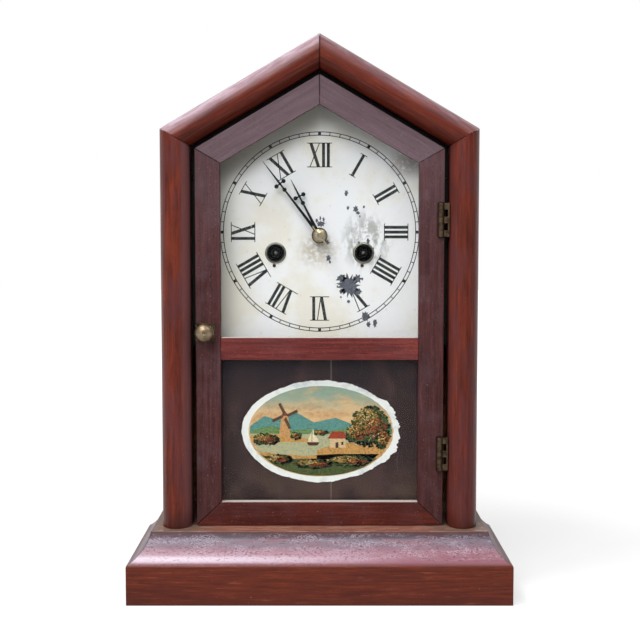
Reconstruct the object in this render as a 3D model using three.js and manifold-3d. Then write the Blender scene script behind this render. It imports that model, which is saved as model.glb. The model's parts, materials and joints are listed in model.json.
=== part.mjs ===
// A gabled shelf clock. A wooden case with half-round mouldings stands on a coved base. A glazed door
// hangs on two hinges in front of a painted zinc dial, and a spring movement drives the hands, swings
// a pendulum and strikes on a coiled gong.
//
// Millimetres. x runs to the right, y to the back and z up. The origin lies under the middle of the base.

import * as THREE from 'three';
import { mergeVertices } from 'three/addons/utils/BufferGeometryUtils.js';
import Module from 'manifold-3d';

const wasm = await Module();
wasm.setup();

const TAU = Math.PI * 2;
const degrees = THREE.MathUtils.degToRad;

// ---- Driving dimensions: base and case ---------------------------------------------------------

const baseDepth = 108;
const baseFaceHeight = 25.4;
const ledgeHeight = 42.9;
const noseRadius = 2;
const coveRun = 14;
const coveSag = 2;
const ledgeLand = 4.5;
const ledgeMargin = 5.5;
const deckThickness = 9;

const caseHalfWidth = 99.1;
const shoulderHeight = 292;
const gablePitch = degrees(30.44);
const boardThickness = 8.1;
const backBoardThickness = 6;
const mouldingWidth = 18.4;
const mouldingStraight = 10;
const mouldingRise = 12;
const seam = 0.12;

// ---- Driving dimensions: door ------------------------------------------------------------------

const doorGap = 3.25;
const doorSillGap = 0.5;
const doorThickness = 13;
const stileWidth = 15.65;
const bottomRailWidth = 14.9;
const middleRailBottom = 148.3;
const middleRailHeight = 14;
const rebateWidth = 4;
const rebateDepth = 7;
const glassThickness = 2;
const glassFit = 0.4;

const hingeLength = 21;
const hingeHeights = { upper: 235.6, lower: 89 };
const barrelRadius = 2.1;
const hingePinRadius = 0.9;
const leafThickness = 1;
const leafLength = 12;
const knuckleCount = 5;
const knuckleGap = 0.15;

const knobHeight = 165.8;
const knobFromDoorEdge = 6.15;
const knobRadius = 6;
const knobProjection = 12.4;
const knobShaftRadius = 1.75;
const knobPlateHeight = 11.5;
const knobPlateThickness = 0.8;
const latchLength = 12.8;
const latchWidth = 5;
const latchThickness = 1.3;
const latchGap = 0.3;

// ---- Driving dimensions: dial and hands --------------------------------------------------------

const dialSetback = 6.5;
const dialThickness = 0.8;
const dialBottom = 156;
const dialMargin = 3;
const dialCentreHole = 4.5;
const battenWidth = 19;
const battenThickness = 9;

const handHeight = 225.85;
const windingSpacing = 28;
const windingDrop = 11.1;
const eyeletRadius = 6.75;
const eyeletBore = 5.1;
const eyeletHole = 5.9;

const minuteHandLength = 59;
const minuteCrossAt = 41;
const minuteHandAngle = degrees(-37.5);
const hourHandLength = 39.8;
const hourCrossAt = 27.8;
const hourHandAngle = degrees(-27.3);
const handThickness = 0.6;
const handBallRadius = 1.35;
const handBallReach = 2.8;
const handBallDrop = 4.7;
const hourHandStandOff = 3;
const minuteHandStandOff = 5.7;
const colletRadius = 4.45;
const taperPinLength = 15;

// ---- Driving dimensions: movement --------------------------------------------------------------

const movementSetback = 16;
const plateThickness = 1.5;
const footLength = 5.5;
const plateHalfWidth = 55;
const plateAbove = 42;
const plateBelow = 45;
const plateChamfer = 5;
const pillarRadius = 2.5;
const pillarInset = 4;
const pillarMargin = 5;
const lowerPillarSpacing = 16;
const bearingGap = 0.15;
const pivotRadius = 0.8;
const arborRadius = 1.2;
const fineArborRadius = 0.85;
const centreArborRadius = 1.1;
const centreArborFront = 1.6;
const windingArborRadius = 3;
const windingSquare = 4.2;
const windingTipBehindDial = 3;

const wheelThickness = 1.2;
const greatWheelThickness = 2.2;
const pinionLength = 2.4;
const drivenPinionLength = 3.6;
const rimWidth = 2;

// Each pair: teeth of the wheel, leaves of the pinion that it drives, and their module.
const greatPair = { teeth: 60, leaves: 8, module: 0.8 };
const secondPair = { teeth: 56, leaves: 8, module: 0.6 };
const centrePair = { teeth: 72, leaves: 6, module: 0.45 };
const thirdPair = { teeth: 66, leaves: 6, module: 0.45 };
const pinWheelPair = { teeth: 40, leaves: 6, module: 0.75 };
const minuteWheelPair = { teeth: 36, leaves: 12, module: 0.625 };
const hourWheelPair = { teeth: 40, leaves: 10, module: 0.6 };
const hourWheelSetback = 6.2;
const minuteWheelSetback = 4.6;
const ratchetTeeth = 12;
const ratchetRadius = 8;

// Where each wheel starts: behind the front plate, or before the back plate.
const frontLayer = { great: 3, ratchet: 5.8, spring: 7.5 };
const backLayer = { centre: 8, second: 5, third: 2.2 };

const escapeTeeth = 40;
const escapeRadius = 12;
const escapePlace = [-9, 17];
const vergeRise = 18;
const palletReach = 8.3;
const palletDrop = 8;
const crutchLength = 20;
const pendulumLength = 115.5;
const pendulumRodRadius = 0.6;
const bobRadius = 13;
const bobThickness = 6;
const pendulumSetback = 2.7;
const ratingNutRadius = 2.2;
const ratingNutHeight = 2;

const springTurns = 6;
const springOuterRadius = 20;
const springStrip = 0.9;
const springToCentreWheel = 2;
const pinCircleRadius = 11.5;
const strikePins = 6;
const flyRadius = 11;
const hammerArborDistance = 19;
const hammerWireRadius = 0.9;
const hammerHeadRadius = 4;
const hammerHeadLength = 9;
const hammerGap = 0.4;
const gongHeight = 95;
const gongRadius = 30;
const gongTurns = 5;
const gongWireDepth = 3.2;
const gongWireThickness = 1.4;
const gongStemRadius = 5;
const gongFlangeRadius = 11;
const gongStandOff = 16;
const gongFlangeThickness = 3;

// ---- Finishes ----------------------------------------------------------------------------------

const finish = (color, roughness, metalness = 0, opacity = 1) => (
  new THREE.MeshStandardMaterial({ color, roughness, metalness, opacity, transparent: opacity < 1 })
);
const mahogany = finish('#6e2d22', 0.45);
const doorWood = finish('#5b3539', 0.5);
const pine = finish('#a8794e', 0.8);
const brass = finish('#b08d4a', 0.35, 1);
const agedBrass = finish('#7d6a45', 0.5, 1);
const steel = finish('#8c8c90', 0.35, 1);
const bluedSteel = finish('#23252c', 0.4, 1);
const castIron = finish('#3a3836', 0.7, 1);
const dialPaint = finish('#dfdfd6', 0.55);
const clearGlass = finish('#e8f0ee', 0.05, 0, 0.25);
const paintedGlass = finish('#2a2224', 0.15);

// ---- Places worked out from the driving dimensions ---------------------------------------------

const frontY = -baseDepth / 2;
const backY = baseDepth / 2;
const baseHalfWidth = caseHalfWidth + ledgeMargin + coveRun;
const baseMouldingWidth = coveRun + ledgeLand;
const baseInnerHalfWidth = baseHalfWidth - baseMouldingWidth;

const mouldingCrest = frontY + coveRun + ledgeMargin;
const mouldingEdge = mouldingCrest + mouldingRise;
const caseFront = mouldingEdge + mouldingStraight;
const backBoardFront = backY - backBoardThickness;
const caseInnerHalfWidth = caseHalfWidth - boardThickness;

const doorInset = mouldingWidth + doorGap;
const doorHalfWidth = caseHalfWidth - doorInset;
const doorBottom = ledgeHeight + doorSillGap;
const doorBack = caseFront;
const doorFront = caseFront - doorThickness;
const rebateFront = doorBack - rebateDepth;
const openingInset = doorInset + stileWidth;
const middleRailTop = middleRailBottom + middleRailHeight;

const hingeX = doorHalfWidth - barrelRadius - 0.1;
const hingeY = doorFront - 1;
const knobX = -(doorHalfWidth - knobFromDoorEdge);

const dialFront = caseFront + dialSetback;
const dialBack = dialFront + dialThickness;
const hourHandBack = dialFront - hourHandStandOff;
const minuteHandBack = dialFront - minuteHandStandOff;
const minuteHandFront = minuteHandBack - handThickness;

const frontPlateFront = dialFront + movementSetback;
const frontPlateBack = frontPlateFront + plateThickness;
const backPlateBack = backBoardFront - footLength;
const backPlateFront = backPlateBack - plateThickness;
const wheelFront = (name) => (
  name in frontLayer ? frontPlateBack + frontLayer[name] : backPlateFront - backLayer[name]
);
const springFront = wheelFront('spring');
const springBack = wheelFront('centre') - springToCentreWheel;
const gongFront = backBoardFront - gongStandOff;
const gongBack = gongFront + gongWireDepth;

// The line parallel to the gable's outer face, a given distance inside it, in the front view.
const gableLine = (x, inset) => (
  shoulderHeight + (caseHalfWidth - x) * Math.tan(gablePitch) - inset / Math.cos(gablePitch)
);
const shoulder = (inset) => [caseHalfWidth - inset, gableLine(caseHalfWidth - inset, inset)];
const apex = (inset) => [0, gableLine(0, inset)];

// ---- Solids ------------------------------------------------------------------------------------

// Merges shared corners, drops faces that have no area and turns the faces outwards.
function closedBody(geometry) {
  const bare = new THREE.BufferGeometry();
  bare.setAttribute('position', geometry.getAttribute('position').clone());
  bare.setIndex(geometry.index ? geometry.index.clone() : null);
  const body = mergeVertices(bare, 1e-4);
  const corner = [0, 1, 2].map(() => new THREE.Vector3());
  const faces = [];
  let volume = 0;
  for (let start = 0; start < body.index.count; start += 3) {
    const face = [0, 1, 2].map((k) => body.index.getX(start + k));
    if (new Set(face).size === 3) {
      face.forEach((vertex, k) => corner[k].fromBufferAttribute(body.attributes.position, vertex));
      volume += corner[0].dot(corner[1].cross(corner[2]));
      faces.push(face);
    }
  }
  body.setIndex(faces.flatMap(([a, b, c]) => (volume > 0 ? [a, b, c] : [a, c, b])));
  return body;
}

function toSolid(geometry) {
  const body = closedBody(geometry);
  const vertProperties = new Float32Array(body.attributes.position.array);
  const triVerts = new Uint32Array(body.index.array);
  return new wasm.Manifold(new wasm.Mesh({ numProp: 3, vertProperties, triVerts }));
}

function fromSolid(solid) {
  const { vertProperties, triVerts } = solid.getMesh();
  const geometry = new THREE.BufferGeometry();
  geometry.setAttribute('position', new THREE.BufferAttribute(new Float32Array(vertProperties), 3));
  geometry.setIndex(Array.from(triVerts));
  return geometry;
}

const join = (...parts) => fromSolid(parts.map(toSolid).reduce((whole, part) => whole.add(part)));
const cut = (body, ...tools) => (
  fromSolid(tools.map(toSolid).reduce((rest, tool) => rest.subtract(tool), toSolid(body)))
);

// A closed skin between rings that all have the same number of corners, with flat ends.
function loft(rings) {
  const count = rings[0].length;
  const flat = rings[0].map(([u, v, w]) => new THREE.Vector3(u, v, w));
  const normal = new THREE.Vector3();
  flat.forEach((point, i) => normal.add(point.clone().cross(flat[(i + 1) % count])));
  const along = ['x', 'y', 'z'].sort((p, q) => Math.abs(normal[p]) - Math.abs(normal[q]));
  const outline = flat.map((point) => new THREE.Vector2(point[along[0]], point[along[1]]));
  const caps = THREE.ShapeUtils.triangulateShape(outline, []);
  const last = (rings.length - 1) * count;
  const faces = caps.flatMap(([a, b, c]) => [a, b, c, last + a, last + c, last + b]);
  const capTurn = THREE.ShapeUtils.area(caps[0].map((i) => outline[i]));
  const outlineTurn = THREE.ShapeUtils.area(outline);
  const forward = capTurn * outlineTurn > 0;
  for (let ring = 0; ring < rings.length - 1; ring += 1) {
    for (let i = 0; i < count; i += 1) {
      const a = ring * count + i;
      const b = ring * count + ((i + 1) % count);
      const quad = forward ? [a, a + count, b, b, a + count, b + count]
        : [a, b, a + count, b, b + count, a + count];
      faces.push(...quad);
    }
  }
  const geometry = new THREE.BufferGeometry();
  geometry.setAttribute('position', new THREE.Float32BufferAttribute(rings.flat(2), 3));
  geometry.setIndex(faces);
  return geometry;
}

const box = ([x0, x1], [y0, y1], [z0, z1]) => (
  new THREE.BoxGeometry(x1 - x0, y1 - y0, z1 - z0)
    .translate((x0 + x1) / 2, (y0 + y1) / 2, (z0 + z1) / 2)
);

const rodAlongY = (radius, front, back, [x, z] = [0, 0], sides = 16) => (
  new THREE.CylinderGeometry(radius, radius, back - front, sides)
    .translate(x, (front + back) / 2, z)
);

const rodAlongZ = (radius, bottom, top, [x, y] = [0, 0], sides = 16) => (
  new THREE.CylinderGeometry(radius, radius, top - bottom, sides)
    .rotateX(Math.PI / 2)
    .translate(x, y, (bottom + top) / 2)
);

// A solid of revolution about the y axis through the origin, from corners given as radius and y.
const turned = (profile, sides = 24) => (
  new THREE.LatheGeometry(profile.map(([radius, y]) => new THREE.Vector2(radius, y)), sides)
);

// A turned ring, whose profile closes on itself.
const turnedRing = (profile, sides = 24) => turned([...profile, profile[0]], sides);

// A stepped arbor from lengths given as [front, back, radius], each starting where the last one ends.
function arbor(lengths, sides = 12) {
  const profile = lengths.flatMap(([front, back, radius]) => [[radius, front], [radius, back]]);
  return turned([[0, lengths[0][0]], ...profile, [0, lengths.at(-1)[1]]], sides);
}

// A flat piece drawn in the front view, from y = front to y = back.
const plate = (shape, front, back) => (
  new THREE.ExtrudeGeometry(shape, { depth: back - front, bevelEnabled: false })
    .rotateX(Math.PI / 2)
    .translate(0, back, 0)
);

const outlineOf = (points) => new THREE.Shape(points.map(([x, z]) => new THREE.Vector2(x, z)));
const withMirror = (points) => {
  const rightSide = points.filter(([x]) => x > 0);
  return [...points, ...rightSide.reverse().map(([x, z]) => [-x, z])];
};
const mirrored = (geometry) => geometry.clone().scale(-1, 1, 1);
const polar = (radius, angle) => [radius * Math.cos(angle), radius * Math.sin(angle)];
const pathOf = (points) => new THREE.Path(points.map(([x, z]) => new THREE.Vector2(x, z)));
const aroundCircle = (count, place) => Array.from({ length: count }, (_, i) => place((i * TAU) / count));
const circle = (radius, [x, z] = [0, 0], sides = 8) => pathOf(aroundCircle(sides, (angle) => {
  const [dx, dz] = polar(radius, angle);
  return [x + dx, z + dz];
}));

// ---- The model ---------------------------------------------------------------------------------

const clock = new THREE.Group();

function addTo(group, name, geometry, material, place = [0, 0], turn = 0) {
  const mesh = new THREE.Mesh(closedBody(geometry), material);
  mesh.name = name;
  mesh.position.set(place[0], 0, place[1]);
  mesh.rotation.y = turn;
  group.add(mesh);
}

// ---- Base --------------------------------------------------------------------------------------

// Section of the base moulding: distance in from the upright face, and height.
function baseProfile() {
  const nose = [0, 1, 2, 3].map((step) => {
    const angle = (step / 3) * (Math.PI / 2);
    return [noseRadius * (1 - Math.cos(angle)), baseFaceHeight - noseRadius * (1 - Math.sin(angle))];
  });
  const coveStart = new THREE.Vector2(noseRadius, baseFaceHeight);
  const coveEnd = new THREE.Vector2(coveRun, ledgeHeight);
  const chord = coveEnd.clone().sub(coveStart);
  const inward = new THREE.Vector2(chord.y, -chord.x).normalize().multiplyScalar(2 * coveSag);
  const control = coveStart.clone().lerp(coveEnd, 0.5).add(inward);
  const cove = new THREE.QuadraticBezierCurve(coveStart, control, coveEnd).getPoints(7).slice(1);
  const inner = [[baseMouldingWidth, ledgeHeight], [baseMouldingWidth, 0]];
  return [[0, 0], ...nose, ...cove.map((point) => point.toArray()), ...inner];
}

const baseSection = baseProfile();
const frontMoulding = loft([-1, 1].map((side) => (
  baseSection.map(([inset, z]) => [side * (baseHalfWidth - inset - seam), frontY + inset, z])
)));
const rightBaseMoulding = loft([
  baseSection.map(([inset, z]) => [baseHalfWidth - inset, frontY + inset + seam, z]),
  baseSection.map(([inset, z]) => [baseHalfWidth - inset, backY, z]),
]);
const baseBoard = box(
  [-baseInnerHalfWidth, baseInnerHalfWidth],
  [frontY + baseMouldingWidth, backBoardFront],
  [ledgeHeight - deckThickness, ledgeHeight],
);

const base = new THREE.Group();
clock.add(base);
addTo(base, 'base_front_moulding', frontMoulding, mahogany);
addTo(base, 'base_left_moulding', mirrored(rightBaseMoulding), mahogany);
addTo(base, 'base_right_moulding', rightBaseMoulding, mahogany);
addTo(base, 'base_board', baseBoard, mahogany);

// ---- Case: columns, gable mouldings and boards -------------------------------------------------

// A straight member of the gabled frame. Each corner of its section is [inset, y], and the two ends
// give the place in the front view that an inset has there.
function frameMember(section, startAt, endAt, startSeam = 0, endSeam = 0) {
  const [from, to] = [new THREE.Vector2(...startAt(0)), new THREE.Vector2(...endAt(0))];
  const along = to.sub(from).normalize();
  const ring = (endPlace, shift) => section.map(([inset, y]) => {
    const [x, z] = endPlace(inset);
    return [x + along.x * shift, y, z + along.y * shift];
  });
  return loft([ring(startAt, startSeam), ring(endAt, -endSeam)]);
}

const halfRound = Array.from({ length: 13 }, (_, step) => {
  const angle = (step / 12) * Math.PI;
  return [(mouldingWidth / 2) * (1 + Math.cos(angle)), mouldingEdge - mouldingRise * Math.sin(angle)];
});
const mouldingSection = [[0, caseFront], [mouldingWidth, caseFront], ...halfRound];
const boardSection = [[0, caseFront], [boardThickness, caseFront], [boardThickness, backY], [0, backY]];
const footOnLedge = (inset) => [caseHalfWidth - inset, ledgeHeight];

const frame = {
  column: frameMember(mouldingSection, footOnLedge, shoulder, 0, seam),
  side_board: frameMember(boardSection, footOnLedge, shoulder, 0, seam),
  gable_moulding: frameMember(mouldingSection, shoulder, apex, seam, seam),
  roof_board: frameMember(boardSection, shoulder, apex, seam, seam),
};
const caseGroup = new THREE.Group();
clock.add(caseGroup);
Object.entries(frame).forEach(([name, right]) => {
  addTo(caseGroup, `left_${name}`, mirrored(right), mahogany);
  addTo(caseGroup, `right_${name}`, right, mahogany);
});

const backGap = seam / Math.cos(gablePitch);
const backBoardOutline = withMirror([
  [0, apex(boardThickness)[1] - backGap],
  [caseInnerHalfWidth, shoulder(boardThickness)[1] - backGap],
  [caseInnerHalfWidth, ledgeHeight],
  [baseInnerHalfWidth, ledgeHeight],
  [baseInnerHalfWidth, 0],
]);
addTo(caseGroup, 'back_board', plate(outlineOf(backBoardOutline), backBoardFront, backY), pine);

// ---- Dial --------------------------------------------------------------------------------------

const centrePlace = [0, handHeight];
const timeWinding = [windingSpacing, handHeight - windingDrop];
const strikeWinding = [-windingSpacing, handHeight - windingDrop];

const batten = box(
  [caseInnerHalfWidth - battenWidth, caseInnerHalfWidth],
  [dialBack, dialBack + battenThickness],
  [dialBottom, shoulder(mouldingWidth)[1]],
);
const dialInset = boardThickness + dialMargin;
const dialOutline = outlineOf(withMirror([
  apex(dialInset),
  shoulder(dialInset),
  [caseHalfWidth - dialInset, dialBottom],
]));
dialOutline.holes.push(
  circle(dialCentreHole, centrePlace, 16),
  circle(eyeletHole, timeWinding, 24),
  circle(eyeletHole, strikeWinding, 24),
);

const eyeletCollar = eyeletHole - 0.2;
const eyelet = turnedRing([
  [eyeletBore, dialFront - 0.8],
  [eyeletBore + 0.5, dialFront - 1],
  [eyeletRadius, dialFront - 0.3],
  [eyeletRadius, dialFront],
  [eyeletCollar, dialFront],
  [eyeletCollar, dialBack + 0.5],
  [eyeletBore, dialBack + 0.5],
], 16);

const dial = new THREE.Group();
clock.add(dial);
addTo(dial, 'left_dial_batten', mirrored(batten), pine);
addTo(dial, 'right_dial_batten', batten, pine);
addTo(dial, 'dial_plate', plate(dialOutline, dialFront, dialBack), dialPaint);
addTo(dial, 'left_winding_eyelet', eyelet, brass, strikeWinding);
addTo(dial, 'right_winding_eyelet', eyelet, brass, timeWinding);

// ---- Door --------------------------------------------------------------------------------------

const doorSection = [
  [doorInset, doorFront],
  [openingInset, doorFront],
  [openingInset, rebateFront],
  [openingInset - rebateWidth, rebateFront],
  [openingInset - rebateWidth, doorBack],
  [doorInset, doorBack],
];
const stileFoot = (inset) => (
  [caseHalfWidth - inset, doorBottom + (inset - doorInset) * (bottomRailWidth / stileWidth)]
);
const stile = frameMember(doorSection, stileFoot, shoulder, seam, seam);
const gableRail = frameMember(doorSection, shoulder, apex, seam, seam);

const railSection = doorSection.map(([inset, y]) => (
  [(inset - doorInset) * (bottomRailWidth / stileWidth), y]
));
const bottomRail = loft([-1, 1].map((side) => railSection.map(([rise, y]) => {
  const inset = rise * (stileWidth / bottomRailWidth);
  return [side * (doorHalfWidth - inset - seam), y, doorBottom + rise];
})));

const openingHalfWidth = caseHalfWidth - openingInset;
const middleRail = join(
  box(
    [-openingHalfWidth, openingHalfWidth],
    [doorFront, rebateFront],
    [middleRailBottom, middleRailTop],
  ),
  box(
    [-openingHalfWidth - rebateWidth, openingHalfWidth + rebateWidth],
    [rebateFront, doorBack],
    [middleRailBottom + rebateWidth, middleRailTop - rebateWidth],
  ),
);

const glassInset = openingInset - rebateWidth + glassFit;
const glassHalfWidth = caseHalfWidth - glassInset;
const upperGlass = plate(
  outlineOf(withMirror([
    apex(glassInset),
    shoulder(glassInset),
    [glassHalfWidth, middleRailTop - rebateWidth + glassFit],
  ])),
  rebateFront,
  rebateFront + glassThickness,
);
const railRebate = rebateWidth * (bottomRailWidth / stileWidth);
const tabletGlass = box(
  [-glassHalfWidth, glassHalfWidth],
  [rebateFront, rebateFront + glassThickness],
  [doorBottom + bottomRailWidth - railRebate + glassFit, middleRailBottom + rebateWidth - glassFit],
);

// Hinges. The case leaf carries the pin and the odd knuckles, the door leaf the even ones.
const knuckleLength = hingeLength / knuckleCount;
const halfHinge = hingeLength / 2;
const knuckleSpan = (index) => [
  -halfHinge + index * knuckleLength + knuckleGap / 2,
  -halfHinge + (index + 1) * knuckleLength - knuckleGap / 2,
];
const caseKnuckles = [0, 2, 4].map(knuckleSpan);
const doorKnuckles = [1, 3].map(knuckleSpan);
const caseLeafOuter = caseHalfWidth - mouldingWidth - hingeX - 0.15;
const strapHalf = leafThickness / 2;
const barrel = (span) => rodAlongZ(barrelRadius, ...span, [0, 0], 12);
const caseLeaf = join(
  rodAlongZ(hingePinRadius, -halfHinge, halfHinge, [0, 0], 8),
  ...caseKnuckles.map(barrel),
  ...caseKnuckles.map((span) => box([0, caseLeafOuter], [-strapHalf, strapHalf], span)),
  box([caseLeafOuter - leafThickness, caseLeafOuter], [-strapHalf, leafLength], [-halfHinge, halfHinge]),
);
const doorLeafInner = 0.9;
const doorLeafOuter = doorLeafInner + leafThickness;
const knuckleClearance = 0.25;
const doorLeaf = cut(
  join(
    ...doorKnuckles.map(barrel),
    ...doorKnuckles.map((span) => box([doorLeafInner, doorLeafOuter], [0, leafLength], span)),
    box(
      [doorLeafInner, doorLeafOuter],
      [barrelRadius + knuckleClearance, leafLength],
      [-halfHinge, halfHinge],
    ),
  ),
  rodAlongZ(hingePinRadius + bearingGap, -halfHinge, halfHinge, [0, 0], 12),
);
const hingeRecess = (height) => [
  rodAlongZ(
    barrelRadius + knuckleClearance,
    height - halfHinge - knuckleClearance,
    height + halfHinge + knuckleClearance,
    [hingeX, hingeY],
  ),
  box(
    [hingeX + doorLeafInner - knuckleClearance, doorHalfWidth + 1],
    [doorFront - 1, hingeY + leafLength + knuckleClearance],
    [height - halfHinge - knuckleClearance, height + halfHinge + knuckleClearance],
  ),
];
const rightStile = cut(stile, ...hingeRecess(hingeHeights.upper), ...hingeRecess(hingeHeights.lower));

// The knob's shaft runs through its plate and the left stile, and is riveted over behind the latch.
const shaftHole = rodAlongY(
  knobShaftRadius + bearingGap,
  doorFront - 1,
  doorBack + 1,
  [knobX, knobHeight],
);
const leftStile = cut(mirrored(stile), shaftHole);
const knobPlate = cut(
  box(
    [-doorHalfWidth, knobX + knobFromDoorEdge],
    [doorFront - knobPlateThickness, doorFront],
    [knobHeight - knobPlateHeight / 2, knobHeight + knobPlateHeight / 2],
  ),
  shaftHole,
);
const latchFront = doorBack + latchGap;
const latchBack = latchFront + latchThickness;
const rivetGap = 0.1;
const rivetRadius = knobShaftRadius + 0.9;
const rivetThickness = 0.6;
const knobFace = doorFront - knobProjection;
const knobFoot = doorFront - knobPlateThickness - rivetGap;
const knob = turned([
  [0, knobFace + 0.5],
  [0.9, knobFace],
  [knobRadius * 0.5, knobFace + 0.3],
  [knobRadius * 0.84, knobFace + 1.5],
  [knobRadius, knobFace + 3.3],
  [knobRadius, knobFace + 4.2],
  [knobRadius * 0.85, knobFace + 5.2],
  [knobRadius * 0.5, knobFace + 6.6],
  [knobRadius * 0.4, knobFace + 8],
  [knobRadius * 0.4, knobFoot - 1.2],
  [knobRadius * 0.6, knobFoot - 0.5],
  [knobRadius * 0.6, knobFoot],
  [knobShaftRadius, knobFoot],
  [knobShaftRadius, latchBack + rivetGap],
  [rivetRadius, latchBack + rivetGap],
  [rivetRadius, latchBack + rivetGap + rivetThickness],
  [0, latchBack + rivetGap + rivetThickness],
], 16);
const latchTongue = cut(
  join(
    rodAlongY(latchWidth / 2 + 0.7, latchFront, latchBack),
    box([-latchWidth / 2, latchWidth / 2], [latchFront, latchBack], [-latchLength, 0]),
  ),
  rodAlongY(knobShaftRadius + rivetGap, latchFront - 1, latchBack + 1),
);

const door = new THREE.Group();
clock.add(door);
addTo(door, 'door_left_stile', leftStile, doorWood);
addTo(door, 'door_right_stile', rightStile, doorWood);
addTo(door, 'door_left_gable_rail', mirrored(gableRail), doorWood);
addTo(door, 'door_right_gable_rail', gableRail, doorWood);
addTo(door, 'door_bottom_rail', bottomRail, doorWood);
addTo(door, 'door_middle_rail', middleRail, doorWood);
addTo(door, 'upper_glass', upperGlass, clearGlass);
addTo(door, 'tablet_glass', tabletGlass, paintedGlass);
addTo(door, 'knob_plate', knobPlate, agedBrass);
addTo(door, 'door_knob', knob, brass, [knobX, knobHeight]);
addTo(door, 'latch_tongue', latchTongue, agedBrass, [knobX, knobHeight]);
Object.entries(hingeHeights).forEach(([name, height]) => {
  const hinge = new THREE.Group();
  hinge.position.set(hingeX, hingeY, height);
  clock.add(hinge);
  addTo(hinge, `${name}_case_leaf`, caseLeaf, agedBrass);
  addTo(hinge, `${name}_door_leaf`, doorLeaf, agedBrass);
});

// ---- Movement: where each arbor stands ---------------------------------------------------------

const centresApart = ({ teeth, leaves, module }) => ((teeth + leaves) / 2) * module;
const offsetFrom = ([x, z], [dx, dz]) => [x + dx, z + dz];
const towards = ([x0, z0], [x1, z1]) => Math.atan2(z1 - z0, x1 - x0);

// The point at one distance from a and another from b. A side of 1 lies to the left of a to b.
function crossing(a, fromA, b, fromB, side) {
  const apart = Math.hypot(b[0] - a[0], b[1] - a[1]);
  const along = (fromA ** 2 - fromB ** 2 + apart ** 2) / (2 * apart);
  const across = side * Math.sqrt(fromA ** 2 - along ** 2);
  const direction = towards(a, b);
  return offsetFrom(offsetFrom(a, polar(along, direction)), polar(across, direction + Math.PI / 2));
}

const escapeAxis = offsetFrom(centrePlace, escapePlace);
const vergeAxis = offsetFrom(escapeAxis, [0, vergeRise]);
const secondAxis = crossing(
  centrePlace,
  centresApart(secondPair),
  timeWinding,
  centresApart(greatPair),
  -1,
);
const thirdAxis = crossing(
  centrePlace,
  centresApart(centrePair),
  escapeAxis,
  centresApart(thirdPair),
  -1,
);
const minuteWheelAxis = offsetFrom(centrePlace, [0, -centresApart(minuteWheelPair)]);
const pinWheelAxis = offsetFrom(strikeWinding, [0, centresApart(greatPair)]);
const flyDirection = degrees(110);
const flyAxis = offsetFrom(pinWheelAxis, polar(centresApart(pinWheelPair), flyDirection));
const hammerAxis = offsetFrom(pinWheelAxis, [-hammerArborDistance, 0]);

// ---- Movement: wheels and pinions --------------------------------------------------------------

// One tooth of a wheel and one leaf of a pinion: each corner is a share of the pitch to one side of
// the middle, and a height above the pitch circle in modules.
const wheelTooth = [[-0.24, -1], [0, 0.85], [0.24, -1]];
const pinionLeaf = [[-0.22, -1], [-0.08, 0.6], [0.08, 0.6], [0.22, -1]];

// Openings between the spokes of a wheel, from its hub out to its rim.
function spokeWindows({ outer, inner, spoke, count = 4 }) {
  return Array.from({ length: count }, (_, i) => {
    const middle = (i * TAU) / count;
    const half = Math.PI / count - spoke / outer;
    return pathOf([
      ...[-1, -0.35, 0.35, 1].map((share) => polar(outer, middle + share * half)),
      ...[0.7, -0.7].map((share) => polar(inner, middle + share * half)),
    ]);
  });
}

// A toothed wheel with the middle of one tooth at a given angle.
function toothed(teeth, module, tooth, toothAngle, front, back, windows = []) {
  const radius = (teeth * module) / 2;
  const pitch = TAU / teeth;
  const shape = outlineOf(Array.from({ length: teeth }, (_, i) => (
    tooth.map(([turn, rise]) => polar(radius + rise * module, toothAngle + (i + turn) * pitch))
  )).flat());
  shape.holes.push(...windows);
  return plate(shape, front, back);
}

// A tooth of the wheel lies on the line of centres, between two leaves of the pinion.
const wheelOf = (pair, from, to, front, thickness, windows) => (
  toothed(pair.teeth, pair.module, wheelTooth, towards(from, to), front, front + thickness, windows)
);
const pinionOf = (pair, from, to, middle, length = pinionLength) => (
  toothed(
    pair.leaves,
    pair.module,
    pinionLeaf,
    towards(to, from) + Math.PI / pair.leaves,
    middle - length / 2,
    middle + length / 2,
  )
);
const middleOf = (name, thickness = wheelThickness) => wheelFront(name) + thickness / 2;

const frontPivot = [frontPlateFront + 0.2, frontPlateBack + 0.3, pivotRadius];
const backPivot = [backPlateFront - 0.3, backPlateBack - 0.2, pivotRadius];
const arborOf = (radius) => arbor([frontPivot, [frontPivot[1], backPivot[0], radius], backPivot], 8);

// The four openings of a wheel that leave its rim, its hub and its spokes.
function crossedOut({ teeth, module }, hub = 4, spoke = 1.4) {
  return spokeWindows({ outer: (teeth * module) / 2 - module - rimWidth, inner: hub, spoke });
}

const ratchetToothDepth = 1.4;
const ratchetToothLean = 0.06;
const clickRadius = 1.6;
const clickPlace = polar(ratchetRadius + clickRadius + 1, Math.PI / 4);
const greatBore = rodAlongY(windingArborRadius + bearingGap, frontPlateFront, backPlateBack);
function greatWheel(from, to) {
  const front = wheelFront('great');
  const windows = crossedOut(greatPair, 12, 2);
  const wheel = wheelOf(greatPair, from, to, front, greatWheelThickness, windows);
  const click = rodAlongY(clickRadius, front, wheelFront('ratchet') + wheelThickness, clickPlace, 8);
  return cut(join(wheel, click), greatBore);
}

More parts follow.
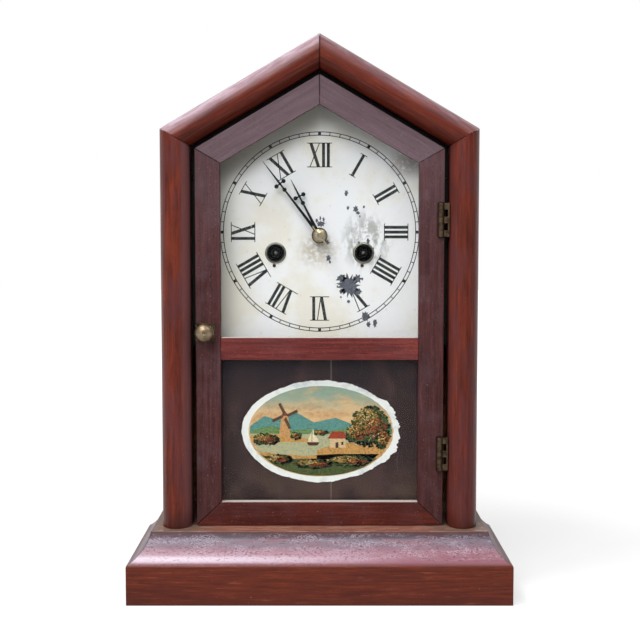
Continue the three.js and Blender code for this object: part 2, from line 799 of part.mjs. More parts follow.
function windingArbor() {
  const half = windingSquare / 2;
  const squareFront = dialFront + windingTipBehindDial;
  const ratchetFront = wheelFront('ratchet');
  const ratchetPoints = aroundCircle(ratchetTeeth, (start) => [
    polar(ratchetRadius, start),
    polar(ratchetRadius - ratchetToothDepth, start + ratchetToothLean),
  ]).flat();
  return join(
    box([-half, half], [squareFront, frontPlateFront], [-half, half]),
    arbor([
      [frontPlateFront - 0.5, backPlateFront - 0.3, windingArborRadius],
      [backPlateFront - 0.3, backPlateBack - 0.2, pivotRadius * 2],
    ], 16),
    plate(outlineOf(ratchetPoints), ratchetFront, ratchetFront + wheelThickness),
  );
}

// A flat strip wound outwards in the front view from one radius to another.
function woundStrip(name, innerRadius, outerRadius, turns, stepsPerTurn, thickness, front, back) {
  const steps = turns * stepsPerTurn;
  const middle = (step) => polar(
    innerRadius + ((outerRadius - innerRadius) * step) / steps,
    (step * TAU) / stepsPerTurn,
  );
  const rings = Array.from({ length: steps + 1 }, (_, step) => {
    const [x, z] = middle(step);
    const radius = Math.hypot(x, z);
    const [dx, dz] = [(x / radius) * (thickness / 2), (z / radius) * (thickness / 2)];
    return [
      [x - dx, front, z - dz],
      [x + dx, front, z + dz],
      [x + dx, back, z + dz],
      [x - dx, back, z - dz],
    ];
  });
  const points = rings.map((_, step) => middle(step));
  const gaps = points.flatMap(([x, z], i) => (
    points.slice(i + stepsPerTurn / 2).map(([u, w]) => Math.hypot(x - u, z - w) - thickness)
  ));
  console.log(`${name}: least gap to itself ${Math.min(...gaps).toFixed(2)} mm`);
  return loft(rings);
}

const mainspring = (name) => woundStrip(
  name,
  windingArborRadius + springStrip / 2 + 0.3,
  springOuterRadius,
  springTurns,
  12,
  springStrip,
  springFront,
  springBack,
);

const trains = [
  ['time', timeWinding, secondAxis],
  ['strike', strikeWinding, pinWheelAxis],
];
const movement = new THREE.Group();
clock.add(movement);
trains.forEach(([name, place, next]) => {
  addTo(movement, `${name}_great_wheel`, greatWheel(place, next), brass, place);
  addTo(movement, `${name}_winding_arbor`, windingArbor(), steel, place);
  addTo(movement, `${name}_mainspring`, mainspring(`${name}_mainspring`), bluedSteel, place);
});

// A thin wheel of the going train on its layer, crossed out to four spokes.
const trainWheel = (pair, from, to, name) => (
  wheelOf(pair, from, to, wheelFront(name), wheelThickness, crossedOut(pair))
);

const greatMiddle = middleOf('great', greatWheelThickness);
const secondWheel = join(
  arborOf(arborRadius),
  trainWheel(secondPair, secondAxis, centrePlace, 'second'),
  pinionOf(greatPair, timeWinding, secondAxis, greatMiddle, drivenPinionLength),
);
addTo(movement, 'second_wheel', secondWheel, brass, secondAxis);

// The centre wheel rides on the centre arbor and drives it by friction, so the hands can be set.
const sleeveBore = centreArborRadius + bearingGap;
const sleeveRadius = sleeveBore + 0.9;
const sleeveBack = wheelFront('second') - 0.3;
const centreWheel = cut(
  join(
    trainWheel(centrePair, centrePlace, thirdAxis, 'centre'),
    pinionOf(secondPair, secondAxis, centrePlace, middleOf('second')),
    rodAlongY(sleeveRadius, wheelFront('centre'), sleeveBack, [0, 0], 12),
  ),
  rodAlongY(sleeveBore, frontPlateBack, backPlateFront),
);
addTo(movement, 'centre_wheel', centreWheel, brass, centrePlace);

const thirdWheel = join(
  arborOf(fineArborRadius),
  trainWheel(thirdPair, thirdAxis, escapeAxis, 'third'),
  pinionOf(centrePair, centrePlace, thirdAxis, middleOf('centre')),
);
addTo(movement, 'third_wheel', thirdWheel, brass, thirdAxis);

// ---- Escapement, in front of the front plate ---------------------------------------------------

const escapeFront = frontPlateFront - 3.8;
const escapeToothDepth = 2.2;
const escapeToothLean = 0.02;
const escapePoints = aroundCircle(escapeTeeth, (start) => [
  polar(escapeRadius, start),
  polar(escapeRadius - escapeToothDepth, start + escapeToothLean),
]).flat();
const escapeWheel = join(
  arbor([
    [escapeFront - 0.4, frontPlateBack + 0.3, pivotRadius],
    [frontPlateBack + 0.3, backPivot[0], fineArborRadius],
    backPivot,
  ], 8),
  plate(outlineOf(escapePoints), escapeFront, escapeFront + wheelThickness),
  pinionOf(thirdPair, thirdAxis, escapeAxis, middleOf('third'), 2),
);
addTo(movement, 'escape_wheel', escapeWheel, brass, escapeAxis);

const vergeFront = escapeFront - 2.2;
const vergeBack = escapeFront + wheelThickness + 0.8;
const crutchBack = vergeFront + 1;
const vergeHubRadius = 2.2;
const vergeStudRadius = 0.6;
const pendulumY = dialBack + pendulumSetback;
const crutchHalfWidth = 0.6;
const crutchFoot = [-crutchLength, -crutchLength + 1];
const tineInner = pendulumRodRadius + 0.3;
const tineOuter = tineInner + crutchHalfWidth;
const tine = box([tineInner, tineOuter], [pendulumY - 1.1, crutchBack], crutchFoot);
const anchor = outlineOf(withMirror([
  [0, 2.2],
  [palletReach - 2, -1.2],
  [palletReach + 1.4, -palletDrop + 0.8],
  [palletReach, -palletDrop],
  [palletReach - 3.4, -3.4],
  [0, -2.2],
]));
const verge = cut(
  join(
    rodAlongY(vergeHubRadius, vergeFront, vergeBack, [0, 0], 12),
    plate(anchor, escapeFront - 0.3, escapeFront + wheelThickness + 0.3),
    box([-crutchHalfWidth, crutchHalfWidth], [vergeFront, crutchBack], [-crutchLength, -1]),
    box([-tineOuter, tineOuter], [vergeFront, crutchBack], crutchFoot),
    tine,
    mirrored(tine),
  ),
  rodAlongY(vergeStudRadius + bearingGap, vergeFront - 1, vergeBack + 1, [0, 0], 12),
);
addTo(movement, 'verge', verge, steel, vergeAxis);

// ---- Pendulum ----------------------------------------------------------------------------------

const rodTop = 0.9;
const nutTop = -pendulumLength - bobRadius - 0.15;
const nutBottom = nutTop - ratingNutHeight;
const pendulumRod = join(
  rodAlongZ(pendulumRodRadius, nutBottom - ratingNutHeight, rodTop, [0, pendulumY], 8),
  rodAlongZ(ratingNutRadius, nutBottom, nutTop, [0, pendulumY], 12),
);
const bobEdge = 0.5;
const bob = cut(
  turned([
    [0, -bobThickness / 2],
    [bobRadius * 0.35, -bobThickness / 2 + 0.4],
    [bobRadius * 0.7, -bobThickness / 2 + 1.3],
    [bobRadius, -bobEdge],
    [bobRadius, bobEdge],
    [bobRadius * 0.7, bobThickness / 2 - 1.3],
    [bobRadius * 0.35, bobThickness / 2 - 0.4],
    [0, bobThickness / 2],
  ], 16).translate(0, pendulumY, -pendulumLength),
  rodAlongZ(pendulumRodRadius + bearingGap, -pendulumLength - bobRadius - 1, 0, [0, pendulumY], 8),
);
addTo(movement, 'pendulum_rod', pendulumRod, steel, vergeAxis);
addTo(movement, 'pendulum_bob', bob, brass, vergeAxis);

// ---- Plates ------------------------------------------------------------------------------------

const relative = ([x, z]) => [x - centrePlace[0], z - centrePlace[1]];
const smallBearings = [secondAxis, thirdAxis, escapeAxis, pinWheelAxis, flyAxis, hammerAxis].map(relative);
const windingBearings = [timeWinding, strikeWinding].map(relative);
const pivotHole = pivotRadius + bearingGap;

function movementPlate(windingHole, centreHole) {
  const shape = outlineOf(withMirror([
    [plateHalfWidth - plateChamfer, plateAbove],
    [plateHalfWidth, plateAbove - plateChamfer],
    [plateHalfWidth, -plateBelow + plateChamfer],
    [plateHalfWidth - plateChamfer, -plateBelow],
  ]));
  smallBearings.forEach((place) => shape.holes.push(circle(pivotHole, place)));
  windingBearings.forEach((place) => shape.holes.push(circle(windingHole, place, 16)));
  shape.holes.push(circle(centreHole, [0, 0], 12));
  return shape;
}

const minuteStudRadius = 1;
const hourWheelFront = dialBack + hourWheelSetback;
const minuteWheelFront = hourWheelFront + minuteWheelSetback;
const minutePinionFront = hourWheelFront - 0.4;
const postRadius = 1.8;
const postRise = 6;
const postDrop = 1.2;
const postPlace = offsetFrom(relative(vergeAxis), [0, postRise]);
const stud = (radius, front, place) => rodAlongY(radius, front, frontPlateFront + 0.5, place, 12);
const frontPlateShape = movementPlate(windingArborRadius + bearingGap, centreArborRadius + bearingGap);
const frontPlate = join(
  plate(frontPlateShape, frontPlateFront, frontPlateBack),
  stud(minuteStudRadius, minutePinionFront - 0.4, relative(minuteWheelAxis)),
  stud(vergeStudRadius, vergeFront - 0.6, relative(vergeAxis)),
  stud(postRadius, pendulumY - 1.4, postPlace),
  box(
    [postPlace[0] - 1.5, postPlace[0] + 1.5],
    [pendulumY - 1.4, pendulumY + 1.6],
    [postPlace[1] - postRise + postDrop, postPlace[1] + postRadius],
  ),
);
addTo(movement, 'front_plate', frontPlate, brass, centrePlace);

const windingPivotRadius = pivotRadius * 2;
const backPlateShape = movementPlate(windingPivotRadius + bearingGap, pivotHole);
const pillarPlaces = [-1, 1].flatMap((side) => [
  [side * (plateHalfWidth - pillarInset), plateAbove - pillarMargin],
  [side * lowerPillarSpacing, pillarMargin - plateBelow],
]);
const backPlate = join(
  plate(backPlateShape, backPlateFront, backPlateBack),
  ...pillarPlaces.map((place) => rodAlongY(pillarRadius, frontPlateBack, backBoardFront, place, 8)),
);
addTo(movement, 'back_plate', backPlate, brass, centrePlace);

// ---- Motion work and hands ---------------------------------------------------------------------

const arborTip = minuteHandFront - 4;
const taperPinY = minuteHandFront - 2.8;
const pinHoleRadius = 0.85;
const pinHole = new THREE.CylinderGeometry(pinHoleRadius, pinHoleRadius, taperPinLength, 12)
  .rotateX(Math.PI / 2)
  .rotateY(minuteHandAngle)
  .translate(0, taperPinY, 0);
const cannonFront = minuteWheelFront - 0.4;
const cannonBack = cannonFront + 2.2;
const pipeBack = hourWheelFront + wheelThickness;
const cannonShoulder = pipeBack + 0.2;
const cannonRadius = 2.4;
const cannonCollarRadius = 2.6;
const centreArbor = cut(
  join(
    arbor([
      [arborTip, cannonShoulder, centreArborFront],
      [cannonShoulder, cannonFront + 0.1, cannonRadius],
      [cannonFront + 0.1, frontPlateFront - 0.2, cannonCollarRadius],
      [frontPlateFront - 0.2, backPlateFront - 0.3, centreArborRadius],
      backPivot,
    ], 16),
    toothed(
      minuteWheelPair.leaves,
      minuteWheelPair.module,
      pinionLeaf,
      -Math.PI / 2 + Math.PI / minuteWheelPair.leaves,
      cannonFront,
      cannonBack,
    ),
  ),
  pinHole,
);
const taperPin = new THREE.CylinderGeometry(0.45, 0.7, taperPinLength, 12)
  .rotateX(Math.PI / 2)
  .translate(0, taperPinY, 0);
const colletBack = minuteHandFront - 0.1;
const collet = turnedRing([
  [centreArborFront + 0.1, colletBack],
  [colletRadius, colletBack],
  [colletRadius, colletBack - 0.4],
  [colletRadius * 0.8, colletBack - 1.2],
  [colletRadius * 0.55, colletBack - 1.75],
  [centreArborFront + 0.1, colletBack - 1.85],
], 16);

// A hand that points up: a hub, a tapered shaft, three small balls and a needle tip.
function hand(length, crossAt, hubRadius, bore, front, back) {
  const shaft = outlineOf(withMirror([
    [0.12, length],
    [0.75, crossAt + 1],
    [0.55, crossAt],
    [0.6, crossAt - handBallDrop],
    [1.05, hubRadius],
    [1.05, 0],
  ]));
  const balls = [[-handBallReach, crossAt], [handBallReach, crossAt], [0, crossAt - handBallDrop]];
  return cut(
    join(
      plate(shaft, front, back),
      box([-handBallReach, handBallReach], [front, back], [crossAt - 0.45, crossAt + 0.45]),
      ...balls.map((place) => rodAlongY(handBallRadius, front, back, place, 8)),
      rodAlongY(hubRadius, front, back, [0, 0], 12),
    ),
    rodAlongY(bore, front - 1, back + 1, [0, 0], 12),
  );
}

const handBoreGap = 0.1;
const pipeBore = centreArborFront + bearingGap;
const pipeRadius = 3;
const pipeFront = hourHandBack - handThickness - 0.3;
const minuteHand = hand(
  minuteHandLength,
  minuteCrossAt,
  3.4,
  centreArborFront + handBoreGap,
  minuteHandFront,
  minuteHandBack,
);
const hourHand = hand(
  hourHandLength,
  hourCrossAt,
  5,
  pipeRadius + handBoreGap,
  hourHandBack - handThickness,
  hourHandBack,
);
const hourWheel = cut(
  join(
    toothed(
      hourWheelPair.teeth,
      hourWheelPair.module,
      wheelTooth,
      -Math.PI / 2,
      hourWheelFront,
      pipeBack,
    ),
    rodAlongY(pipeRadius, pipeFront, pipeBack),
  ),
  rodAlongY(pipeBore, pipeFront - 1, pipeBack + 1),
);
const minuteWheel = cut(
  join(
    wheelOf(minuteWheelPair, minuteWheelAxis, centrePlace, minuteWheelFront, wheelThickness),
    toothed(
      hourWheelPair.leaves,
      hourWheelPair.module,
      pinionLeaf,
      Math.PI / 2 + Math.PI / hourWheelPair.leaves,
      minutePinionFront,
      minuteWheelFront + 0.5,
    ),
  ),
  rodAlongY(minuteStudRadius + bearingGap, minutePinionFront - 1, frontPlateFront, [0, 0], 12),
);

const hands = new THREE.Group();
hands.position.set(centrePlace[0], 0, centrePlace[1]);
clock.add(hands);
addTo(hands, 'centre_arbor', centreArbor, steel);
addTo(hands, 'minute_hand', minuteHand, bluedSteel, [0, 0], minuteHandAngle);
addTo(hands, 'hand_collet', collet, brass);
addTo(hands, 'taper_pin', taperPin, brass, [0, 0], minuteHandAngle);
addTo(hands, 'hour_hand', hourHand, bluedSteel, [0, 0], hourHandAngle);
addTo(hands, 'hour_wheel', hourWheel, brass);
addTo(movement, 'minute_wheel', minuteWheel, brass, minuteWheelAxis);

// ---- Strike ------------------------------------------------------------------------------------

const pinsFront = wheelFront('second') - 3.2;
const strikePinRadius = 0.6;
const pinWheel = join(
  arborOf(arborRadius),
  wheelOf(pinWheelPair, pinWheelAxis, flyAxis, wheelFront('second'), wheelThickness),
  pinionOf(greatPair, strikeWinding, pinWheelAxis, greatMiddle, drivenPinionLength),
  ...aroundCircle(strikePins, (angle) => rodAlongY(
    strikePinRadius,
    pinsFront,
    wheelFront('second') + 0.5,
    polar(pinCircleRadius, angle),
    6,
  )),
);
addTo(movement, 'strike_pin_wheel', pinWheel, brass, pinWheelAxis);

const vaneHalfThickness = 0.4;
const fly = join(
  arborOf(arborRadius),
  pinionOf(pinWheelPair, pinWheelAxis, flyAxis, middleOf('second')),
  box(
    [-flyRadius, flyRadius],
    [springFront + 1, springBack],
    [-vaneHalfThickness, vaneHalfThickness],
  ),
);
addTo(movement, 'strike_fly', fly, brass, flyAxis);

const hammerY = gongFront + gongWireDepth / 2 - 0.1;
const hammerWireLength = hammerAxis[1] - gongHeight;
const hammerTail = hammerArborDistance - pinCircleRadius - 1.3;
const hammerHubRadius = 2.2;
const hammerHubHalf = 1.8;
const hammer = join(
  arborOf(arborRadius),
  rodAlongY(hammerHubRadius, hammerY - hammerHubHalf, hammerY + hammerHubHalf, [0, 0], 12),
  rodAlongZ(hammerWireRadius, -hammerWireLength, 0, [0, hammerY], 8),
  box([0, hammerTail], [hammerY - 0.7, hammerY + 0.7], [-0.7, 0.7]),
  new THREE.CylinderGeometry(hammerHeadRadius, hammerHeadRadius, hammerHeadLength, 16)
    .rotateZ(Math.PI / 2)
    .translate(0, hammerY, -hammerWireLength),
);
addTo(movement, 'strike_hammer', hammer, brass, hammerAxis);

// ---- Gong --------------------------------------------------------------------------------------

const gongX = hammerAxis[0] + hammerHeadLength / 2 + hammerGap + gongRadius + gongWireThickness / 2;
const gongPlace = [gongX, gongHeight];
const gongCoil = woundStrip(
  'gong_coil',
  gongStemRadius + gongWireThickness / 2 + 0.3,
  gongRadius,
  gongTurns,
  20,
  gongWireThickness,
  gongFront,
  gongBack,
).rotateY(Math.PI);
const gongFlangeFront = backBoardFront - gongFlangeThickness;
const gongBlock = arbor([
  [gongFront - 1, gongFlangeFront, gongStemRadius],
  [gongFlangeFront, backBoardFront, gongFlangeRadius],
], 16);
addTo(movement, 'gong_block', gongBlock, castIron, gongPlace);
addTo(movement, 'gong_coil', gongCoil, bluedSteel, gongPlace);

export default clock;
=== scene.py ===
# %% [markdown]
# # A gabled shelf clock, dressed in Blender
#
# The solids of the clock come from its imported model, in metres, each in its own place. This lesson
# gives them their finishes, puts finer turned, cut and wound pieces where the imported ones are
# plain, paints the dial and the lower glass, and lights the clock. Lengths are written in
# millimetres, as a clock maker writes them, and only a finished mesh is turned into metres.

import json
import math
import random

import bmesh
import bpy
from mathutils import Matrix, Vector

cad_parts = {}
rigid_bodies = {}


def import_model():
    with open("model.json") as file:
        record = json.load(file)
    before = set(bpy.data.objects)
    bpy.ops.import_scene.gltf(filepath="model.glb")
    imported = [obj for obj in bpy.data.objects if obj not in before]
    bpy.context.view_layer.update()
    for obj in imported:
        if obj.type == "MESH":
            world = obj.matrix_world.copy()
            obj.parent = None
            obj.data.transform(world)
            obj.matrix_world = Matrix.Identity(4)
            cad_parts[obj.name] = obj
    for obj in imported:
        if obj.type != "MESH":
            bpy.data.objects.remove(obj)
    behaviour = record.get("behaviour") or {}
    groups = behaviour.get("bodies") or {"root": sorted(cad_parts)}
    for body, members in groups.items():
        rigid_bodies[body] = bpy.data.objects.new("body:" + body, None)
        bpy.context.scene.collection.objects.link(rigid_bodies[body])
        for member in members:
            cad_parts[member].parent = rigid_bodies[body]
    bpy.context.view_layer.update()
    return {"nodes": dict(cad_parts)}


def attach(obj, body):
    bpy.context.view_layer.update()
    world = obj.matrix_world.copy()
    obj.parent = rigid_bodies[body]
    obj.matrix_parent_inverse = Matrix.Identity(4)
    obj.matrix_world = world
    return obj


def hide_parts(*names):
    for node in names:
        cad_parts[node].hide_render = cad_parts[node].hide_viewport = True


# A new file has a cube, a lamp and a camera of its own, which aren't part of the clock.
for item in list(bpy.data.objects):
    bpy.data.objects.remove(item)

scene = bpy.context.scene
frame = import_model()
nodes = frame["nodes"]

# %% [markdown]
# ## The camera
#
# The photograph was taken from the front with a lens that draws the sides of the base a little
# larger than the gable. A camera can be placed by eye, but corners of the case, the door and the
# dial were measured in the picture, so its distance, its lens and its tilt were fitted to them
# instead.

# %% Place the camera
IMAGE_PX = 640
FOCAL_PX = 1260
SHIFT_PX = (0.4, 6.05)
LOOK_DOWN = 4.37
CAMERA_PLACE = (0, -0.81, 0.2295)

lens = bpy.data.cameras.new("camera")
lens.sensor_width = 36
lens.lens = lens.sensor_width * FOCAL_PX / IMAGE_PX
lens.shift_x = SHIFT_PX[0] / IMAGE_PX
lens.shift_y = SHIFT_PX[1] / IMAGE_PX
camera = bpy.data.objects.new("camera", lens)
camera.location = CAMERA_PLACE
camera.rotation_euler = (math.radians(90 - LOOK_DOWN), 0, 0)
scene.collection.objects.link(camera)
scene.camera = camera
scene.view_settings.view_transform = "Standard"
print("lens:", round(lens.lens, 1), "mm")

# %% [markdown]
# ## How a finish is made
#
# A material is a tree of nodes. One function adds a node, fills or links its inputs and gives its
# first output, so a tree reads from top to bottom. Colours are picked from a screen, so they are
# written as sRGB hex codes, and another function turns them into the linear values that light
# needs.

# %% A colour and a node
MM = 0.001


def tone(code):
    """The linear colour of an sRGB hex code."""
    shares = [int(code[i : i + 2], 16) / 255 for i in (1, 3, 5)]
    return (*[s / 12.92 if s <= 0.04045 else ((s + 0.055) / 1.055) ** 2.4 for s in shares], 1)


def add(tree, kind, inputs=(), **settings):
    """Adds a node with its settings and inputs, by name or in order, and gives its first output."""
    node = tree.nodes.new(kind)
    for name, value in settings.items():
        setattr(node, name, value)
    in_use = [socket for socket in node.inputs if socket.enabled]
    for key, value in inputs.items() if isinstance(inputs, dict) else enumerate(inputs):
        socket = node.inputs[key] if isinstance(key, str) else in_use[key]
        if isinstance(value, bpy.types.NodeSocket):
            tree.links.new(value, socket)
        else:
            socket.default_value = tone(value) if str(value).startswith("#") else value
    return next((socket for socket in node.outputs if socket.enabled), None)


print("a middle grey is", round(tone("#808080")[0], 3), "in linear light")

# %% [markdown]
# A restorer describes a finish as layers: a ground colour, darker streaks over it, dust in one
# corner. The class below works in the same way. `mottle` gives soft noise whose size is in
# millimetres, `from_point`, `beside` and `under_gable` give distances on the front, and `lay` lays
# a colour where each of its values passes from one number to another.

# %% A finish in layers
GABLE_PITCH = 30.44
GABLE_SLOPE = math.tan(math.radians(GABLE_PITCH))


class Finish:
    """A material under way: its tree, places on the clock in millimetres and its colour so far."""

    def __init__(self, name, color, **sockets):
        self.material = bpy.data.materials.new(name)
        self.material.use_nodes = True
        self.tree = self.material.node_tree
        self.shader = self.tree.nodes["Principled BSDF"]
        for socket, value in sockets.items():
            self.shader.inputs[socket.replace("_", " ")].default_value = value
        place = add(self.tree, "ShaderNodeTexCoord").node.outputs["Object"]
        self.place = add(self.tree, "ShaderNodeMapping", {"Vector": place, "Scale": (1 / MM,) * 3})
        self.x, self.y, self.z = add(self.tree, "ShaderNodeSeparateXYZ", [self.place]).node.outputs
        self.color = tone(color)

    def mottle(self, size, seed=0, detail=4, place=None):
        """Noise from 0 to 1 with a size in millimetres, one number or one for each axis."""
        sizes = size if isinstance(size, tuple) else (size,) * 3
        scaled = {"Vector": place or self.place, "Scale": tuple(1 / s for s in sizes)}
        moved = scaled | {"Location": (seed, seed * 1.7, seed * 0.6)}
        field = add(self.tree, "ShaderNodeMapping", moved)
        noise = {"Vector": field, "Scale": 1.0, "Detail": detail, "Roughness": 0.6}
        return add(self.tree, "ShaderNodeTexNoise", noise)

    def from_point(self, x, z, wide=1.0, tall=1.0):
        """Distance in the front view from a point, in a circle or in an oval."""
        way = add(self.tree, "ShaderNodeVectorMath", [self.place, (x, 0, z)], operation="SUBTRACT")
        flat = [way, (1 / wide, 0, 1 / tall)]
        oval = add(self.tree, "ShaderNodeVectorMath", flat, operation="MULTIPLY")
        length = add(self.tree, "ShaderNodeVectorMath", [oval], operation="LENGTH")
        return length.node.outputs["Value"]

    def beside(self):
        """Distance to either side of the clock's middle."""
        return add(self.tree, "ShaderNodeMath", [self.x], operation="ABSOLUTE")

    def under_gable(self):
        """The height at which a line parallel to the gable meets the middle."""
        fall = add(self.tree, "ShaderNodeMath", [self.beside(), GABLE_SLOPE], operation="MULTIPLY")
        return add(self.tree, "ShaderNodeMath", [fall, self.z], operation="ADD")

    def lay(self, color, strength, *masks):
        """Lays a colour where every mask, a value with its low and high, passes to its high."""
        share = strength
        for value, low, high in masks:
            passed = {"Value": value, "From Min": low, "From Max": high}
            mask = add(self.tree, "ShaderNodeMapRange", passed, interpolation_type="SMOOTHSTEP")
            share = add(self.tree, "ShaderNodeMath", [share, mask], operation="MULTIPLY")
        self.color = add(self.tree, "ShaderNodeMix", [share, self.color, color], data_type="RGBA")

    def vary_roughness(self, value, smooth, rough):
        """Passes from the first roughness to the second as a value passes from 0.3 to 0.7."""
        span = {"Value": value, "From Min": 0.3, "From Max": 0.7, "To Min": smooth, "To Max": rough}
        self.feed("Roughness", add(self.tree, "ShaderNodeMapRange", span))

    def feed(self, socket, value):
        self.tree.links.new(value, self.shader.inputs[socket])

    def done(self, height=None, depth=0.0):
        """Links the colour, and a relief with its depth in millimetres, and gives the material."""
        if height is not None:
            relief = {"Height": height, "Strength": 0.7, "Distance": depth * MM}
            self.feed("Normal", add(self.tree, "ShaderNodeBump", relief))
        self.feed("Base Color", self.color)
        return self.material


def wear(material, *names):
    """Gives solids their finish."""
    for name in names:
        slots = nodes[name].data.materials
        slots.clear()
        slots.append(material)
    print(material.name, "on", len(names))


# %% [markdown]
# ## Mahogany under old shellac
#
# The case is stained mahogany. It was planed, sanded and brushed with shellac, whose IOR is about
# 1.5. A fresh coat is glossy, but this one has dulled, so its reflections are weak and a little
# blurred, and only a bright light shows in it. The pores are some 0.3 mm wide and are drawn 0.45
# mm wide so that they show. Broader streaks follow the grain, so each member's pattern is
# stretched along it, and turned with the pitch of the gable where the member is.

# %% Grained wood
PORE = (0.45, 7)
STREAK = (1.6, 27)
CLOUD = (15, 50)


def along(grain, wide, long):
    """The size of a pattern on X, Y and Z when it is stretched along the grain."""
    return tuple(long if axis == grain else wide for axis in "XYZ")


def grained_wood(name, tones, grain, tilt=0.0, seed=0, roughness=0.36):
    """A stained member with its grain along X, Y or Z, tilted in the front view."""
    dark, middle, light = tones
    wood = Finish(name, middle, IOR=1.52, Specular_IOR_Level=0.14)
    turned_place = {"Vector": wood.place, "Rotation": (0, math.radians(tilt), 0)}
    wood.grain = add(wood.tree, "ShaderNodeMapping", turned_place)
    pores, streaks, clouds = [
        wood.mottle(along(grain, *size), seed + size[0], 5, wood.grain)
        for size in (PORE, STREAK, CLOUD)
    ]
    wood.lay(dark, 0.8, (streaks, 0.5, 0.34))
    wood.lay(light, 0.8, (streaks, 0.5, 0.68))
    wood.lay(dark, 0.5, (clouds, 0.5, 0.68))
    wood.lay(light, 0.5, (clouds, 0.46, 0.3))
    wood.lay(dark, 0.6, (pores, 0.54, 0.66))
    wood.vary_roughness(streaks, roughness + 0.08, roughness - 0.06)
    wood.pores = pores
    return wood


CASE_TONES = ("#3b130b", "#5b2114", "#74301d")
print("streaks along X:", along("X", *STREAK), "mm")

# %% [markdown]
# The columns have kept their red where hands don't reach. Their inner flanks, next to the door,
# are painted a lighter plum, partly as dulled polish and partly as painted light where the lamps
# leave them in shade, the left one most. Their feet are darker towards the ledge. Height and
# distance from the middle are enough to say where, so no picture has to be painted.

# %% Columns
INNER_FLANK = (87.5, 81.5)
DARKER_FOOT = (58, 43)
for side, seed, plum_and_fill_light in (("left", 0, 0.65), ("right", 40, 0.15)):
    column = grained_wood(f"{side}_column_mahogany", CASE_TONES, "Z", seed=seed)
    column.lay("#4f2a2d", 0.55, (column.mottle((9, 9, 36), seed + 6), 0.46, 0.64))
    # The inner flank is painted a lighter plum, partly dulled polish and partly painted light where
    # the lamps leave it in shade.
    column.lay("#7d5556", plum_and_fill_light, (column.beside(), *INNER_FLANK))
    column.lay("#8f5c4b", 0.5, (column.mottle(1.1, seed + 3), 0.66, 0.76))
    # The foot is darker towards the ledge.
    column.lay("#32150f", 0.5, (column.z, *DARKER_FOOT))
    wear(column.done(column.pores, 0.04), f"{side}_column")

# %% [markdown]
# The gable mouldings face the sky. Their upper half is painted a cool pale grey, partly as shellac
# bleached by long years of dusting and daylight and partly as a painted sheen of the bright sky.
# The pale part ends in a ragged line along the moulding, so its mask is the distance from the
# ridge with noise added. The left moulding, which faces the brighter sky, is painted palest. The
# mitre between the two has a thin dark line of dirt.

# %% Gable mouldings
RIDGE = 350.2


def gable_mahogany(name, side, seed, bleach_and_sheen):
    wood = grained_wood(name, CASE_TONES, "X", side * GABLE_PITCH, seed, 0.32)
    wander = wood.mottle((22, 4, 4), 12, 4, wood.grain)
    ragged_by = add(wood.tree, "ShaderNodeMath", [wander, 5], operation="MULTIPLY")
    edge = add(wood.tree, "ShaderNodeMath", [wood.under_gable(), ragged_by], operation="ADD")
    chalky = wood.mottle((14, 3, 3), 5, 4, wood.grain)
    # The upper half is painted pale, partly as bleached shellac and partly as a painted sheen of the
    # sky.
    wood.lay("#9a828c", bleach_and_sheen, (edge, RIDGE - 8.5, RIDGE + 0.5))
    wood.lay("#b9a6b1", bleach_and_sheen, (edge, RIDGE - 5, RIDGE + 1), (chalky, 0.4, 0.64))
    wood.lay("#2a1410", 0.6, (wood.beside(), 0.8, 0.35))
    return wood.done(wood.pores, 0.04)


wear(gable_mahogany("left_gable_mahogany", 1, 3, 0.75), "left_gable_moulding")
wear(gable_mahogany("right_gable_mahogany", -1, 23, 0.25), "right_gable_moulding")

# %% [markdown]
# The base has a hollow between its nose and the ledge that the columns stand on. Polish has
# gathered and crazed there: a lilac-grey bloom with rosy patches where the stain shows through,
# and a crackle of pale threads. The real threads are too fine to show, so they are drawn about 1
# mm apart, as the narrow band where a noise passes its middle. The middle of the hollow is
# lightened a little with a painted sheen, and under the ledge it is darkened with painted shade.
# The nose is pale, partly rubbed and partly a painted highlight, with a painted glint at its left
# end, and it is painted darker at the right. The face below it stays red-brown and is darker
# towards the bottom. At the sides, above the nose, the moulding is painted dark as shade, and its
# shellac reflects less there.

# %% Base mouldings
NOSE = 25.0
LEDGE = 42.9
BASE_TONES = ("#411509", "#5a2010", "#702e19")


def ledge_rub_sheen_and_dust(wood):
    """The flat ledge on top, painted tan, partly as rubbed wood and partly as a painted sheen of
    light from above, and dusty near the columns.
    """
    top = (wood.z, LEDGE - 0.6, LEDGE - 0.1)
    near_columns = (wood.beside(), 58, 84)
    wood.lay("#84594c", 0.8, top)
    wood.lay("#a07867", 0.8, top, (wood.mottle((9, 2, 2), 5), 0.48, 0.62))
    wood.lay("#5c544b", 0.8, top, near_columns, (wood.mottle(6, 8), 0.34, 0.56))


